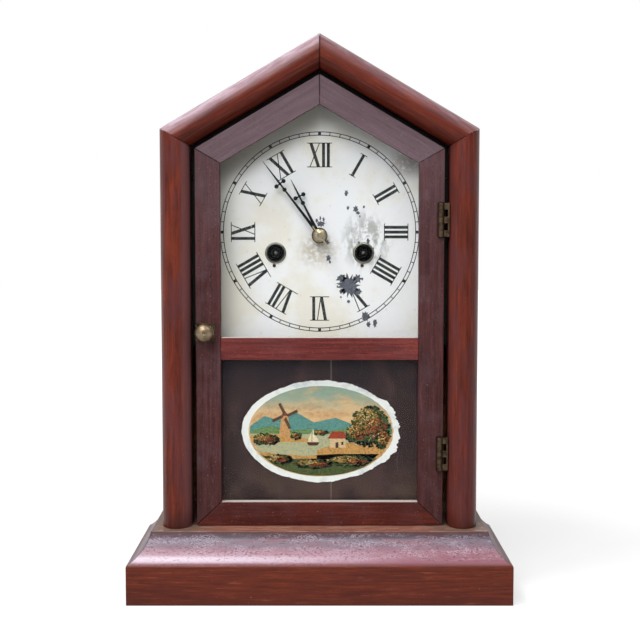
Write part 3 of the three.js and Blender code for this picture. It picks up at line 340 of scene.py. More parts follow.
def base_mahogany(name, grain, seed, painted_shade):
    """A base moulding with painted shade above its nose, from 0, none, to 1, black, which also dulls
    its reflection.
    """
    wood = grained_wood(name, BASE_TONES, grain, 0, seed, 0.34)
    hollow = ((wood.z, NOSE + 0.5, NOSE + 3), (wood.z, LEDGE - 0.2, LEDGE - 3.2))
    shade_under_ledge = ((wood.z, LEDGE - 5.5, LEDGE - 3), (wood.z, LEDGE - 0.2, LEDGE - 1.2))
    nose = ((wood.z, NOSE - 0.7, NOSE + 1.4), (wood.z, NOSE + 10, NOSE + 4))
    painted_glint = ((wood.z, NOSE, NOSE + 2), (wood.z, NOSE + 5, NOSE + 3))
    crazing = wood.mottle((1.9, 1.9, 0.9), seed + 4, 6)
    threads = ((crazing, 0.47, 0.5), (crazing, 0.56, 0.53))
    patches = wood.mottle(along(grain, 5, 45), seed + 2)
    streaks = wood.mottle(along(grain, 3, 16), seed + 31)
    wood.lay("#71454c", 0.8, *hollow)
    wood.lay("#5d535e", 0.85, *hollow, (wood.z, NOSE + 6, NOSE + 12), (patches, 0.38, 0.56))
    wood.lay("#6f3239", 0.6, *hollow, (patches, 0.48, 0.36))
    # A painted sheen lightens the middle of the hollow.
    wood.lay("#a89db0", 0.22, (wood.z, NOSE + 1, NOSE + 4), (wood.z, LEDGE - 2.5, LEDGE - 5))
    # Painted shade under the ledge, where the top of the hollow is steep.
    wood.lay("#3f333b", 0.75, *shade_under_ledge)
    # The nose is painted pale, partly as rubbed polish and partly as a painted highlight, palest at
    # the left.
    wood.lay("#a57987", 0.8, *nose)
    wood.lay("#b99dab", 0.5, *nose, (crazing, 0.4, 0.66), (wood.x, 60, -20))
    # Painted darker at the right, where the highlight fades.
    wood.lay("#7d4b54", 0.6, *nose, (wood.x, 0, 100))
    # A painted glint on the nose's left end.
    wood.lay("#e2d6e2", 0.7, *painted_glint, (wood.x, 60, -90))
    wood.lay("#b9abb8", 0.6, *hollow, *threads, (streaks, 0.42, 0.62))
    wood.lay("#38252a", 0.5, *hollow, (crazing, 0.44, 0.34))
    # Above the nose the moulding is painted dark as shade, strongly at the sides, and the same
    # number dulls its reflection.
    wood.lay("#2e1713", painted_shade, (wood.z, NOSE - 1, NOSE + 1))
    wood.shader.inputs["Specular IOR Level"].default_value = 0.2 * (1 - painted_shade)
    # The face is darker towards the bottom.
    wood.lay("#46190e", 0.5, (wood.z, 12, 0))
    wood.lay("#874a36", 0.4, (wood.z, NOSE, NOSE - 3), (wood.mottle((20, 20, 1.6), 21), 0.58, 0.7))
    wood.lay("#c7a78f", 0.6, (wood.mottle(1.8, 31), 0.72, 0.76))
    ledge_rub_sheen_and_dust(wood)
    return wood.done(crazing, 0.12)


wear(base_mahogany("base_front_mahogany", "X", 0, 0.05), "base_front_moulding")
shaded_sides = base_mahogany("base_side_mahogany", "Y", 11, 0.75)
wear(shaded_sides, "base_left_moulding", "base_right_moulding")
deck = grained_wood("deck_mahogany", CASE_TONES, "X", 0, 17, 0.5)
ledge_rub_sheen_and_dust(deck)
wear(deck.done(deck.pores, 0.04), "base_board")

# %% [markdown]
# The door is the same wood, but hands and cleaning have taken its shine, and its stain has turned
# from red to plum. The gable rails are the dullest, with a fine grey bloom, and the two cross
# rails have kept the most red. The upper edges of the cross rails are painted pale, partly as dust
# and partly as a painted highlight where the light falls on them from above.

# %% Door members
STILE_TONES = ("#2f1414", "#412020", "#532e2f")
GABLE_RAIL_TONES = ("#4c3b40", "#5c494e", "#6b575d")
MIDDLE_RAIL_TONES = ("#471a17", "#632825", "#783730")
BOTTOM_RAIL_TONES = ("#35100b", "#4b1a12", "#5f271c")


def door_mahogany(name, tones, grain, tilt, seed, bloom, dust_and_highlight_top=0):
    """A door member, with the height of its upper edge where that edge is painted pale as dust and
    highlight.
    """
    wood = grained_wood(name, tones, grain, tilt, seed, 0.5)
    wood.lay("#69585f", bloom, (wood.mottle(24, seed + 9), 0.42, 0.7))
    wood.lay("#69585f", bloom, (wood.z, 190, 270))
    wood.lay("#8e7a7e", 0.4, (wood.mottle(1.0, seed + 13), 0.62, 0.74))
    wood.lay(tones[0], 0.6, (wood.mottle(1.3, seed + 19), 0.42, 0.3))
    if dust_and_highlight_top:
        # The upper edge is painted pale, partly dust and partly painted highlight.
        upper_edge = (wood.z, dust_and_highlight_top - 0.35, dust_and_highlight_top - 0.1)
        wood.lay("#c3bab4", 0.85, upper_edge)
    return wood.done(wood.pores, 0.04)


DOOR_MEMBERS = {
    "left_stile": (STILE_TONES, "Z", 0, 1, 0.2),
    "right_stile": (STILE_TONES, "Z", 0, 51, 0.2),
    "left_gable_rail": (GABLE_RAIL_TONES, "X", GABLE_PITCH, 61, 0.25),
    "right_gable_rail": (GABLE_RAIL_TONES, "X", -GABLE_PITCH, 71, 0.2),
    "middle_rail": (MIDDLE_RAIL_TONES, "X", 0, 91, 0.08, 162.3),
    "bottom_rail": (BOTTOM_RAIL_TONES, "X", 0, 81, 0.08, 58.3),
}
for member, looks in DOOR_MEMBERS.items():
    wear(door_mahogany(f"{member}_mahogany", *looks), f"door_{member}")

# %% [markdown]
# The sides and the roof are plain boards under a thin brown wash, and the back and the battens
# behind the dial are bare pine. Raw wood has no coat, so it is rough and hardly reflects. Two
# finishes would do, but the grain runs along each board, so a table gives the direction of each.

# %% Boards
WASH_TONES = ("#32150e", "#52281c", "#683a29")
PINE_TONES = ("#7a5233", "#a2754b", "#bd9463")
BOARDS = {
    "washed_side_board": (WASH_TONES, "Z", 0, 5, "left_side_board right_side_board"),
    "washed_left_roof": (WASH_TONES, "X", GABLE_PITCH, 6, "left_roof_board"),
    "washed_right_roof": (WASH_TONES, "X", -GABLE_PITCH, 9, "right_roof_board"),
    "bare_pine_back": (PINE_TONES, "Z", 0, 2, "back_board"),
    "bare_pine_batten": (PINE_TONES, "Z", 0, 14, "left_dial_batten right_dial_batten"),
}
for name, (tones, grain, tilt, seed, boards) in BOARDS.items():
    board = grained_wood(name, tones, grain, tilt, seed, 0.66)
    board.lay(tones[0], 0.5, (board.mottle(40, seed + 1), 0.5, 0.7))
    wear(board.done(board.pores, 0.08), *boards.split())

# %% [markdown]
# ## Metals
#
# The wheels and plates are rolled brass, the hands and springs are steel blued by heat, the hinges
# are stamped brass that has gone brown, and the gong stands on cast iron. A metal's colour is in
# its reflection, so it keeps the default IOR and is fully metallic. Tarnish grows in patches of a
# few millimetres, and it darkens the metal and dulls it as well. Round the winding arbors the front
# plate is painted black, partly as oil that has run over it and partly as painted shade deep in the
# winding holes.

# %% Metal finishes
HOLES = {"left": (-28.0, 214.75), "right": (28.0, 214.75)}


def old_metal(name, bright, tarnished, roughness, tarnish, spots="#3a2f20"):
    """A metal with patches of tarnish and small dark spots."""
    metal = Finish(name, bright, Metallic=1.0)
    patches = metal.mottle(3, 1, 5)
    metal.lay(tarnished, tarnish, (patches, 0.36, 0.66))
    metal.lay(spots, 0.5, (metal.mottle(1.0, 8), 0.66, 0.76))
    metal.vary_roughness(patches, roughness - 0.06, roughness + 0.14)
    return metal


rolled_brass = old_metal("rolled_brass", "#a98744", "#6f5529", 0.36, 0.6).done()
turned_brass = old_metal("turned_brass", "#a8997c", "#6f6450", 0.3, 0.5).done()
knob_brass = old_metal("handled_brass", "#7f6f5b", "#4c4130", 0.38, 0.7, "#574a38").done()
brown_brass = old_metal("brown_brass", "#4e4033", "#2a2119", 0.5, 0.8).done()
blued_steel = old_metal("blued_steel", "#1d2024", "#121417", 0.42, 0.5, "#2c2725").done()
drawn_steel = old_metal("drawn_steel", "#85857f", "#4e4a44", 0.36, 0.6).done()
browned_steel = old_metal("browned_steel", "#1c1917", "#100e0c", 0.55, 0.6).done()
iron = old_metal("cast_iron", "#34322f", "#201d1a", 0.62, 0.6)
cast_iron = iron.done(iron.mottle(0.9, 3), 0.15)
plate = old_metal("oiled_shaded_plate_brass", "#a98744", "#6f5529", 0.36, 0.6)
for x, z in HOLES.values():
    # Painted black round each hole, partly oil and partly painted shade deep in the hole.
    plate.lay("#0b0a09", 1.0, (plate.from_point(x, z), 13, 9))

wheels = "hour minute escape third centre second time_great strike_great strike_pin".split()
wear(plate.done(), "front_plate")
wear(rolled_brass, "back_plate", *[f"{wheel}_wheel" for wheel in wheels])
wear(rolled_brass, "strike_fly", "strike_hammer")
wear(drawn_steel, "verge", "pendulum_rod", "centre_arbor")
wear(browned_steel, "time_winding_arbor", "strike_winding_arbor")
wear(turned_brass, "taper_pin")
leaves = [f"{place}_{side}_leaf" for place in ("upper", "lower") for side in ("case", "door")]
wear(brown_brass, "knob_plate", "latch_tongue", *leaves)
wear(cast_iron, "gong_block")

# %% [markdown]
# ## Glass
#
# Both panes are thin window glass with an IOR of 1.52. Real glass bends light and takes many
# bounces to render. A pane this thin hardly bends it, so a nearly clear Principled surface is
# enough: it shows what lies behind and still reflects the light.

# %% Panes


def pane(name, alpha):
    glass = Finish(name, "#20262a", IOR=1.52, Roughness=0.03, Alpha=alpha)
    glass.lay("#5a6264", 0.5, (glass.mottle(16), 0.45, 0.75))
    return glass.done()


wear(pane("window_glass", 0.05), "upper_glass")
wear(pane("tablet_pane", 0.04), "tablet_glass")

# %% [markdown]
# ## Softened edges
#
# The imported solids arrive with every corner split, so a curve would show its flats. A small
# geometry tree joins the corners again and shades smoothly up to an angle. Nothing on an old clock
# is sharp either, so the wood and the sheet metal get a narrow rounded edge. It catches the light
# and draws the mitres.

# %% Smooth faces
SMOOTH_UP_TO = 33
smooth_tree = bpy.data.node_groups.new("smooth_faces", "GeometryNodeTree")
for way in ("INPUT", "OUTPUT"):
    smooth_tree.interface.new_socket("Geometry", in_out=way, socket_type="NodeSocketGeometry")
solid = add(smooth_tree, "NodeGroupInput")
marked = {"Geometry": solid, "Name": "custom_normal"}
plain = add(smooth_tree, "GeometryNodeRemoveAttribute", marked)
joined = add(smooth_tree, "GeometryNodeMergeByDistance", {"Geometry": plain, "Distance": 0.01 * MM})
shaded = add(smooth_tree, "GeometryNodeSetShadeSmooth", {"Geometry": joined})
fold = add(smooth_tree, "GeometryNodeInputMeshEdgeAngle")
folded = {"A": fold, "B": math.radians(SMOOTH_UP_TO)}
sharp = add(smooth_tree, "FunctionNodeCompare", folded, operation="GREATER_THAN")
creased = {"Geometry": shaded, "Selection": sharp, "Shade Smooth": False}
edged = add(smooth_tree, "GeometryNodeSetShadeSmooth", creased, domain="EDGE")
add(smooth_tree, "NodeGroupOutput", [edged])
print("smooth tree:", len(smooth_tree.nodes), "nodes")

# %% Rounded edges
EDGE_WIDTHS = {
    0.8: "base_front base_left base_right",
    0.5: "door_left door_right door_bottom door_middle side_board roof_board back_board",
    0.45: "column",
    0.4: "base_board batten",
    0.2: "gable_moulding",
    0.12: "case_leaf door_leaf knob_plate latch_tongue",
}
for name, node in nodes.items():
    node.modifiers.new("smooth_faces", "NODES").node_group = smooth_tree
    for width, words in EDGE_WIDTHS.items():
        if any(word in name for word in words.split()):
            rounding = node.modifiers.new("rounded_edges", "BEVEL")
            rounding.width = width * MM
            rounding.segments = 2
            rounding.limit_method = "ANGLE"
            rounding.angle_limit = math.radians(40)
            rounding.harden_normals = True
print("rounded:", sum("rounded_edges" in node.modifiers for node in nodes.values()))

# %% [markdown]
# ## How a piece is made
#
# Most small parts of a clock are turned, cut from sheet or wound from strip, so three makers are
# enough. Each takes points in millimetres, with y to the back, and hangs the finished mesh on a
# body of the clock so that it moves with it.

# %% A mesh that rides on the clock


def piece(name, points, faces, material, body, smooth_angle=0):
    """A mesh of [x, y, z] points that moves with a body and keeps its kind of finish, its slot."""
    mesh = bpy.data.meshes.new(name)
    mesh.from_pydata([[c * MM for c in point] for point in points], [], faces)
    form = bmesh.new()
    form.from_mesh(mesh)
    bmesh.ops.remove_doubles(form, verts=form.verts, dist=0.002 * MM)
    if smooth_angle:
        bmesh.ops.recalc_face_normals(form, faces=form.faces)
    form.to_mesh(mesh)
    form.free()
    mesh.materials.append(material)
    if smooth_angle:
        mesh.polygons.foreach_set("use_smooth", [True] * len(mesh.polygons))
        mesh.set_sharp_from_angle(angle=math.radians(smooth_angle))
    made = bpy.data.objects.new(name, mesh)
    scene.collection.objects.link(made)
    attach(made, body)
    print(name, "faces:", len(mesh.polygons))
    return made


# %% Turned, cut and wound


def turned(name, profile, centre, material, body, sides=64):
    """A profile of [radius, y] turned about a line along y through centre, which is (x, z)."""
    around = [2 * math.pi * i / sides for i in range(sides)]
    points = [
        [centre[0] + radius * math.cos(angle), y, centre[1] + radius * math.sin(angle)]
        for radius, y in profile
        for angle in around
    ]
    faces = []
    for start in range(0, len(points) - sides, sides):
        for i in range(sides):
            a, b = start + i, start + (i + 1) % sides
            faces.append([a, a + sides, b + sides, b])
    return piece(name, points, faces, material, body, 35)


def cut(name, outlines, y, material, body, depth=0.0):
    """Flat shapes in the front view at y, each a list of [x, z], with their depth to the back."""
    points, faces = [], []
    for outline in outlines:
        area = sum(a[0] * b[1] - b[0] * a[1] for a, b in zip(outline, outline[1:] + outline[:1]))
        order = range(len(points), len(points) + len(outline))
        faces.append(list(order if area > 0 else reversed(order)))
        points += [[x, y, z] for x, z in outline]
    made = piece(name, points, faces, material, body)
    if depth:
        thickness = made.modifiers.new("thickness", "SOLIDIFY")
        thickness.thickness = depth * MM
        thickness.offset = -1
    return made


def lofted(name, rings, material, body, closed=False):
    """A skin over rings of points, closed into a loop or capped at both ends."""
    count = len(rings[0])
    faces = []
    for r in range(len(rings) if closed else len(rings) - 1):
        here, there = r * count, (r + 1) % len(rings) * count
        for i in range(count):
            j = (i + 1) % count
            faces.append([here + i, here + j, there + j, there + i])
    if not closed:
        faces += [list(range(count)), list(range((len(rings) - 1) * count, len(rings) * count))]
    points = [point for ring in rings for point in ring]
    return piece(name, points, faces, material, body, 40)


def swing(point, degrees, centre=(0, 0)):
    """A point of the front view turned clockwise and set about a centre."""
    c, s = math.cos(math.radians(degrees)), math.sin(math.radians(degrees))
    return [centre[0] + point[0] * c + point[1] * s, centre[1] - point[0] * s + point[1] * c]


def rectangle(left, bottom, right, top):
    return [[left, bottom], [right, bottom], [right, top], [left, top]]


print("a quarter turn takes twelve o'clock to", [round(c, 3) for c in swing((0, 1), 90)])


# %% [markdown]
# ## Glue in the ridge
#
# Hide glue fills the mitre where the gable mouldings meet, and dirt has made it black. The solids
# leave a seam there that is a hair wide, which daylight would pass through. A darker finish can't
# close a gap, so a thin sheet of glue stands in it.

# %% Glue in the ridge
HALF_A_HAIR = 0.13
MITRE_FOOT = 329.6
MITRE_TOP = 349.9
GLUE_FRONT = -16.0
GLUE_DEPTH = 3.0

glue = Finish("dirty_hide_glue", "#1e0d09", IOR=1.5, Specular_IOR_Level=0.1, Roughness=0.6)
glue.lay("#33190f", 0.6, (glue.mottle(2), 0.45, 0.65))
mitre = rectangle(-HALF_A_HAIR, MITRE_FOOT, HALF_A_HAIR, MITRE_TOP)
cut("ridge_glue", [mitre], GLUE_FRONT, glue.done(), "case", GLUE_DEPTH)

# %% [markdown]
# ## The door's knob
#
# The knob is a small brass mushroom, turned in one piece with its shaft. Its face has a dimple
# from the lathe centre. A profile turned about the shaft is how the real one was made, so it is
# made so here as well. Two round tacks hold the plate under it.

# %% Knob and tacks
KNOB = (-71.3, 165.8)
KNOB_FACE = [
    [0.0, -37.35], [0.45, -37.4], [0.8, -37.75], [1.3, -37.9], [2.4, -37.75], [3.7, -37.25],
    [4.8, -36.4], [5.6, -35.4], [5.95, -34.5], [6.0, -33.8], [5.8, -33.2], [5.2, -32.7],
]
KNOB_NECK = [
    [4.2, -32.2], [3.2, -31.4], [2.6, -30.3], [2.4, -29.0], [2.4, -27.9], [2.7, -27.3],
    [3.4, -27.0], [3.6, -26.7], [3.6, -26.4], [1.75, -26.4],
]
KNOB_SHAFT = [[1.75, -10.8], [2.65, -10.8], [2.6, -10.4], [2.0, -10.2], [0.0, -10.2]]
TACK = [[0.0, -0.9], [0.4, -0.85], [0.8, -0.65], [1.05, -0.35], [1.1, 0.0], [0.0, 0.0]]

knob = turned("turned_knob", KNOB_FACE + KNOB_NECK + KNOB_SHAFT, KNOB, knob_brass, "knob")
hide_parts("door_knob")
for number, place in enumerate([(-76.2, 171.0), (-66.4, 160.6)]):
    head = [[radius, y - 26.35] for radius, y in TACK]
    turned(f"knob_plate_tack_{number}", head, place, brown_brass, "door", 20)

# %% [markdown]
# ## Putty
#
# A bead of putty, whiting kneaded with linseed oil, holds each pane from behind. It slopes from
# the wood to the glass and shows when the door is open. It could be a bevel on the wood, but it is
# a material of its own, so it is a ring of triangles lofted round the pane.

# %% Putty beads
PUTTY_FRONT = -16.8
COLUMN_SIDE = 99.1
SHOULDER = 292

putty = Finish("linseed_putty", "#b3a78f", Roughness=0.85)
putty.lay("#8e7c62", 0.8, (putty.mottle(2.5), 0.45, 0.7))
putty_paste = putty.done(putty.mottle(1.1, 4), 0.3)


def gable_outline(inset, bottom):
    """The door's pentagon, drawn in from the outer edge of the columns."""
    pitch = math.radians(GABLE_PITCH)
    side = COLUMN_SIDE - inset
    shoulder = SHOULDER + inset * (math.tan(pitch) - 1 / math.cos(pitch))
    peak = SHOULDER + COLUMN_SIDE * math.tan(pitch) - inset / math.cos(pitch)
    return [[side, bottom], [side, shoulder], [0, peak], [-side, shoulder], [-side, bottom]]


def bead(name, outer, inner):
    rings = [
        [[ox, PUTTY_FRONT, oz], [ox, PUTTY_FRONT + 3, oz], [ix, PUTTY_FRONT, iz]]
        for (ox, oz), (ix, iz) in zip(outer, inner)
    ]
    return lofted(name, rings, putty_paste, "door", closed=True)


bead("upper_putty", gable_outline(33.7, 158.8), gable_outline(36.9, 161.9))
bead("lower_putty", rectangle(-65.3, 55.0, 65.3, 151.8), rectangle(-62.2, 58.0, 62.2, 148.7))

# %% [markdown]
# ## The dial
#
# The dial is a zinc sheet under brushed white lead paint. The paint has warmed to cream, it is
# brown with oil round the hands and grey where fingers and keys have rubbed near the right hole.
# It is a little greyer towards the left, and under the gable it is darkened with the painted shadow
# of the door's frame, at the left most. It has flaked off in ragged patches, and there the eye
# sees the zinc's dull blue-grey oxide more than the metal, so it is only a little metallic. Beyond
# the door's frame the dial is painted black as the shade in the gap round the door, so that no
# pale strip shows there.

# %% Dial paint
DIAL_FRONT = -6.0
RING = (0.0, 228.0)
HANDS = (0.0, 225.85)

paint = Finish("white_lead_paint", "#eff1ee", IOR=1.5, Specular_IOR_Level=0.2, Roughness=0.5)
clouds = paint.mottle(40, 2)
fine = paint.mottle(2.6, 6, 6)
rubbed = paint.mottle((4, 4, 9), 7, 5)
paint.lay("#eef1f7", 0.7, (clouds, 0.36, 0.62))
paint.lay("#e4dfce", 0.6, (clouds, 0.5, 0.36))
# The paint is a little greyer towards the left.
paint.lay("#d6d5c8", 0.6, (paint.x, -30, -66))
# The painted shadow of the door's frame under the gable, at the left most.
paint.lay("#8b8578", 0.7, (paint.under_gable(), 286, 306), (paint.x, 60, -10))
paint.lay("#84745a", 0.5, (paint.from_point(54, 271), 14, 2), (fine, 0.3, 0.5))
paint.lay("#a08f63", 0.6, (paint.from_point(-1, 217, 1.2), 15, 3), (fine, 0.3, 0.6))
paint.lay("#a3a6a1", 0.8, (paint.from_point(30, 222, 1, 1.2), 20, 8), (rubbed, 0.42, 0.6))
paint.lay("#7f827d", 0.6, (paint.from_point(29, 222, 1, 1.2), 18, 6), (fine, 0.5, 0.68))
paint.lay("#bdbcb1", 0.5, (fine, 0.6, 0.74))
paint.lay("#77756c", 0.6, (paint.mottle(1.5, 31), 0.71, 0.76))
# Beyond the door's frame the dial is painted black as the shade in the gap round the door.
paint.lay("#120f0d", 1.0, (paint.beside(), 70, 73))
paint.lay("#120f0d", 1.0, (paint.under_gable(), 313, 316))
wear(paint.done(fine, 0.04), "dial_plate")

zinc = Finish("bare_zinc", "#5a5e69", IOR=1.5, Roughness=0.6, Metallic=0.3)
zinc.lay("#43464f", 0.9, (zinc.mottle(1.5), 0.4, 0.62))
bare_zinc = zinc.done(zinc.mottle(0.6, 3), 0.05)

printing = Finish("printing_ink", "#171a1c", IOR=1.5, Specular_IOR_Level=0.25, Roughness=0.55)
printing.lay("#c9c9c0", 0.55, (printing.mottle(1.3, 3, 5), 0.6, 0.72))
printing.lay("#3d423f", 0.7, (printing.mottle(4, 9), 0.45, 0.6))
ink = printing.done()

# %% [markdown]
# The minute track and the numerals were printed. Text objects could draw them, but a font's
# numerals are upright and even, while these stand with their feet towards the middle, have thick
# and thin strokes, and serifs that run on past their ends. So each stroke is a thin shape, and
# four is written with four strokes, as on most clocks.

# %% Strokes of the numerals
THICK = 1.9
THIN = 0.62
SERIF = 0.52
NUMERAL_FOOT = 41.2
NUMERAL_HEAD = 56.2
PITCH = {"I": 3.05, "V": 7.0, "X": 7.6}
WIDTH = {"I": THICK, "V": 6.4, "X": 6.8}


def stroke(foot, foot_z, head, head_z, width):
    """A stroke of even width from the middle of its foot to the middle of its head."""
    ends = ((foot, foot_z, -1), (foot, foot_z, 1), (head, head_z, 1), (head, head_z, -1))
    return [[x + side * width / 2, z] for x, z, side in ends]


def numeral(text):
    """Strokes of a numeral between its foot and head circles, in the middle of x = 0."""
    places = [0.0]
    for before, letter in zip(text, text[1:]):
        apart = 0 if before + letter == "II" else 0.25
        places.append(places[-1] + (PITCH[before] + PITCH[letter]) / 2 + apart)
    middle = (places[0] - WIDTH[text[0]] / 2 + places[-1] + WIDTH[text[-1]] / 2) / 2
    foot, head = NUMERAL_FOOT, NUMERAL_HEAD
    strokes = []
    for place, letter in zip(places, text):
        x, half = place - middle, WIDTH[letter] / 2
        if letter == "I":
            strokes.append(stroke(x, foot, x, head, THICK))
        elif letter == "V":
            strokes.append(stroke(x + 0.35, foot, x - half + THICK / 2, head, THICK * 1.05))
            strokes.append(stroke(x + 0.75, foot, x + half - 0.3, head, THIN))
        else:
            lean = half - THICK / 2
            strokes.append(stroke(x + lean, foot, x - lean, head, THICK * 1.1))
            strokes.append(stroke(x - half + 0.4, foot, x + half - 0.4, head, THIN))
    reach = places[-1] - middle + WIDTH[text[-1]] / 2 + 1.4
    for z in (foot, head):
        strokes.append(rectangle(-reach, z - SERIF / 2, reach, z + SERIF / 2))
    return strokes


print("strokes in VIII:", len(numeral("VIII")))

# %% Track and numerals
TRACK = (60.9, 63.5)
LINE = 0.52
MARK = 1.9

shapes = []
for radius in (TRACK[0] + LINE, TRACK[1]):
    for i in range(240):
        corners = ((0, radius), (1, radius), (1, radius - LINE), (0, radius - LINE))
        shapes.append([swing((0, r), 1.5 * (i + k), RING) for k, r in corners])
for minute in range(60):
    tick = stroke(0, TRACK[0], 0, TRACK[1], LINE if minute % 5 else MARK)
    shapes.append([swing(point, 6 * minute, RING) for point in tick])
for hour, text in enumerate("XII I II III IIII V VI VII VIII IX X XI".split()):
    shapes += [[swing(point, 30 * hour, RING) for point in outline] for outline in numeral(text)]
cut("dial_printing", shapes, DIAL_FRONT - 0.04, ink, "case")

# %% [markdown]
# Paint flakes off in patches whose edge is broken into small steps and spikes. Each patch here is
# a rough ring: short and long radii take turns, and a seeded dice keeps them the same on every
# run. The places and sizes follow the real wear.

# %% Flaked patches


def ragged(x, z, wide, tall, spikes, seed):
    """An outline whose radius jumps in and out."""
    dice = random.Random(seed)
    outline = []
    for i in range(2 * spikes):
        angle = math.pi * (i + dice.uniform(-0.3, 0.3)) / spikes
        reach = dice.uniform(0.55, 0.8) if i % 2 else dice.uniform(0.85, 1.2)
        across, up = wide / 2 * math.cos(angle), tall / 2 * math.sin(angle)
        outline.append([x + reach * across, z + reach * up])
    return outline


FLAKES = [
    (18.6, 194.0, 14, 14, 15), (14.0, 198.6, 7, 6, 7), (24.0, 198.4, 6, 6, 7),
    (24.6, 190.2, 5, 5, 6), (14.6, 190.6, 5, 4, 6), (16.9, 252.6, 2.6, 4.4, 6),
    (18.0, 243.3, 1.9, 2.8, 5),
    (23.0, 242.6, 3.8, 4.8, 7), (24.3, 240.2, 2.8, 2.6, 5), (28.1, 244.0, 1.6, 2.4, 5),
    (25.6, 238.0, 1.1, 2.0, 5), (5.6, 211.4, 3.2, 4.8, 7), (6.6, 209.0, 1.6, 2.2, 5),
    (0.8, 233.4, 5.6, 4.0, 8), (-1.8, 235.2, 1.8, 3.4, 5), (2.6, 236.0, 1.8, 3.6, 5),
    (0.4, 236.8, 1.4, 3.0, 5), (4.6, 221.4, 4.0, 3.4, 6), (29.2, 174.4, 4.8, 7.0, 8),
    (31.2, 169.2, 3.0, 4.4, 6), (35.4, 169.8, 3.0, 6.0, 7), (18.4, 183.8, 2.6, 2.6, 6),
    (27.2, 198.2, 1.6, 2.2, 5), (30.8, 222.4, 2.4, 4.4, 6), (25.0, 221.4, 1.4, 1.6, 5),
    (13.6, 186.6, 1.4, 1.6, 5), (11.4, 193.4, 1.2, 2.0, 5), (34.0, 217.6, 1.4, 1.8, 5),
]
flaked = [ragged(*values, seed) for seed, values in enumerate(FLAKES)]
cut("flaked_patches", flaked, DIAL_FRONT - 0.08, bare_zinc, "case")

# %% [markdown]
# A brass eyelet lines each winding hole. It is pressed from thin sheet and rolled over at the
# front. Its bore is painted black, partly as oil and partly as painted shade deep in the hole, so
# that only the rim shows. Brads with round heads hold the dial to its battens.

# %% Eyelets and brads
EYELET = [
    [5.1, -4.7], [5.1, -6.7], [5.25, -7.0], [5.7, -7.1], [6.2, -6.95], [6.6, -6.6], [6.75, -6.25],
    [6.75, -6.0], [5.7, -6.0], [5.7, -4.7], [5.1, -4.7],
]
BRAD = [[0.0, -0.85], [0.6, -0.75], [1.0, -0.4], [1.1, 0.0], [0.0, 0.0]]
ARBOR_TIP = -3.0

oiled_shaded_bore = old_metal("oiled_shaded_brass", "#8d8a7c", "#4d4a40", 0.4, 0.7)
for x, z in HOLES.values():
    # The bore is painted black, partly oil and partly painted shade deep in the hole.
    oiled_shaded_bore.lay("#0b0a09", 1.0, (oiled_shaded_bore.from_point(x, z), 5.9, 5.5))
oiled_shaded_brass = oiled_shaded_bore.done()

for side, (x, z) in HOLES.items():
    eyelet = turned(f"{side}_eyelet", EYELET, (x, z), oiled_shaded_brass, "case")
    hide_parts(f"{side}_winding_eyelet")
    nub = [[radius, y - 6.05] for radius, y in BRAD]
    turned(f"{side}_eyelet_nub", nub, (x - 0.9, z - 8.0), brown_brass, "case", 20)
for number, place in enumerate([(-80, 168), (80, 168), (-80, 262), (80, 262)]):
    head = [[radius, y + DIAL_FRONT - 0.05] for radius, y in BRAD]
    turned(f"dial_brad_{number}", head, place, brown_brass, "case", 20)

# %% [markdown]
# The key wears the ends of the winding arbors bright, though their sides are black with oil. A
# small dome on each end is the pale dot that shows deep in the hole.

# %% Bright ends of the arbors
DOME = [[0.0, -0.75], [0.5, -0.7], [0.95, -0.45], [1.2, -0.15], [1.25, 0.05], [0.0, 0.05]]
for side, body in (("right", "time_arbor"), ("left", "strike_arbor")):
    tip = [[radius, y + ARBOR_TIP] for radius, y in DOME]
    turned(f"{side}_arbor_end", tip, HOLES[side], drawn_steel, body, 24)

# %% [markdown]
# ## The hands
#
# Each hand is filed from steel sheet and blued: a hub, a tapered shaft, a small cross of three
# balls and a needle point. Flat shapes laid over each other would look the same from the front,
# but they would leave hidden faces, so one outline goes all the way round. It is drawn for the
# right half and mirrored, because a face can't have the hub's hole in it.

# %% Outline of half a hand
BALL = 1.35
ARM = 2.8
DROP = 4.7
BAR = 0.45


def arc(x, z, radius, start, end, steps=20):
    angles = [math.radians(start + (end - start) * i / steps) for i in range(steps + 1)]
    return [[x + radius * math.cos(a), z + radius * math.sin(a)] for a in angles]


def half_hand(length, cross, hub, bore):
    """The right half, from the point down to the hub and back up along its hole."""
    into_ball = math.degrees(math.asin(BAR / BALL))
    off_shaft = math.degrees(math.acos(0.55 / BALL))
    off_hub = math.degrees(math.acos(1.05 / hub))
    outline = [[0, length], [0.16, length - 0.4], [0.66, cross + BAR]]
    outline += arc(ARM, cross, BALL, 180 - into_ball, into_ball - 180)
    outline.append([0.6, cross - BAR])
    outline += arc(0, cross - DROP, BALL, off_shaft, -off_shaft)
    outline += arc(0, 0, hub, off_hub, -90) + arc(0, 0, bore, -90, 90)
    return outline


print("corners on a quarter of a ball:", len(arc(0, 0, BALL, 0, 90)))

# %% Both hands


def hand(node, body, length, cross, hub, bore, front, back, angle):
    half = half_hand(length, cross, hub, bore)
    halves = [half, [[-x, z] for x, z in half]]
    placed = [[swing(point, angle, HANDS) for point in outline] for outline in halves]
    made = cut(f"blued_{node}", placed, front, blued_steel, body, back - front)
    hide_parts(node)


hand(
    "minute_hand", "minute", length=59, cross=41, hub=3.4, bore=1.75,
    front=-12.3, back=-11.7, angle=-37.5,
)
hand(
    "hour_hand", "hour", length=39.8, cross=27.8, hub=5.0, bore=3.15,
    front=-9.6, back=-9.0, angle=-27.3,
)

# %% [markdown]
# A domed brass collet presses on the minute hand, and the taper pin through the arbor holds it.
# The pin is already there as a solid, so only the collet is turned anew.

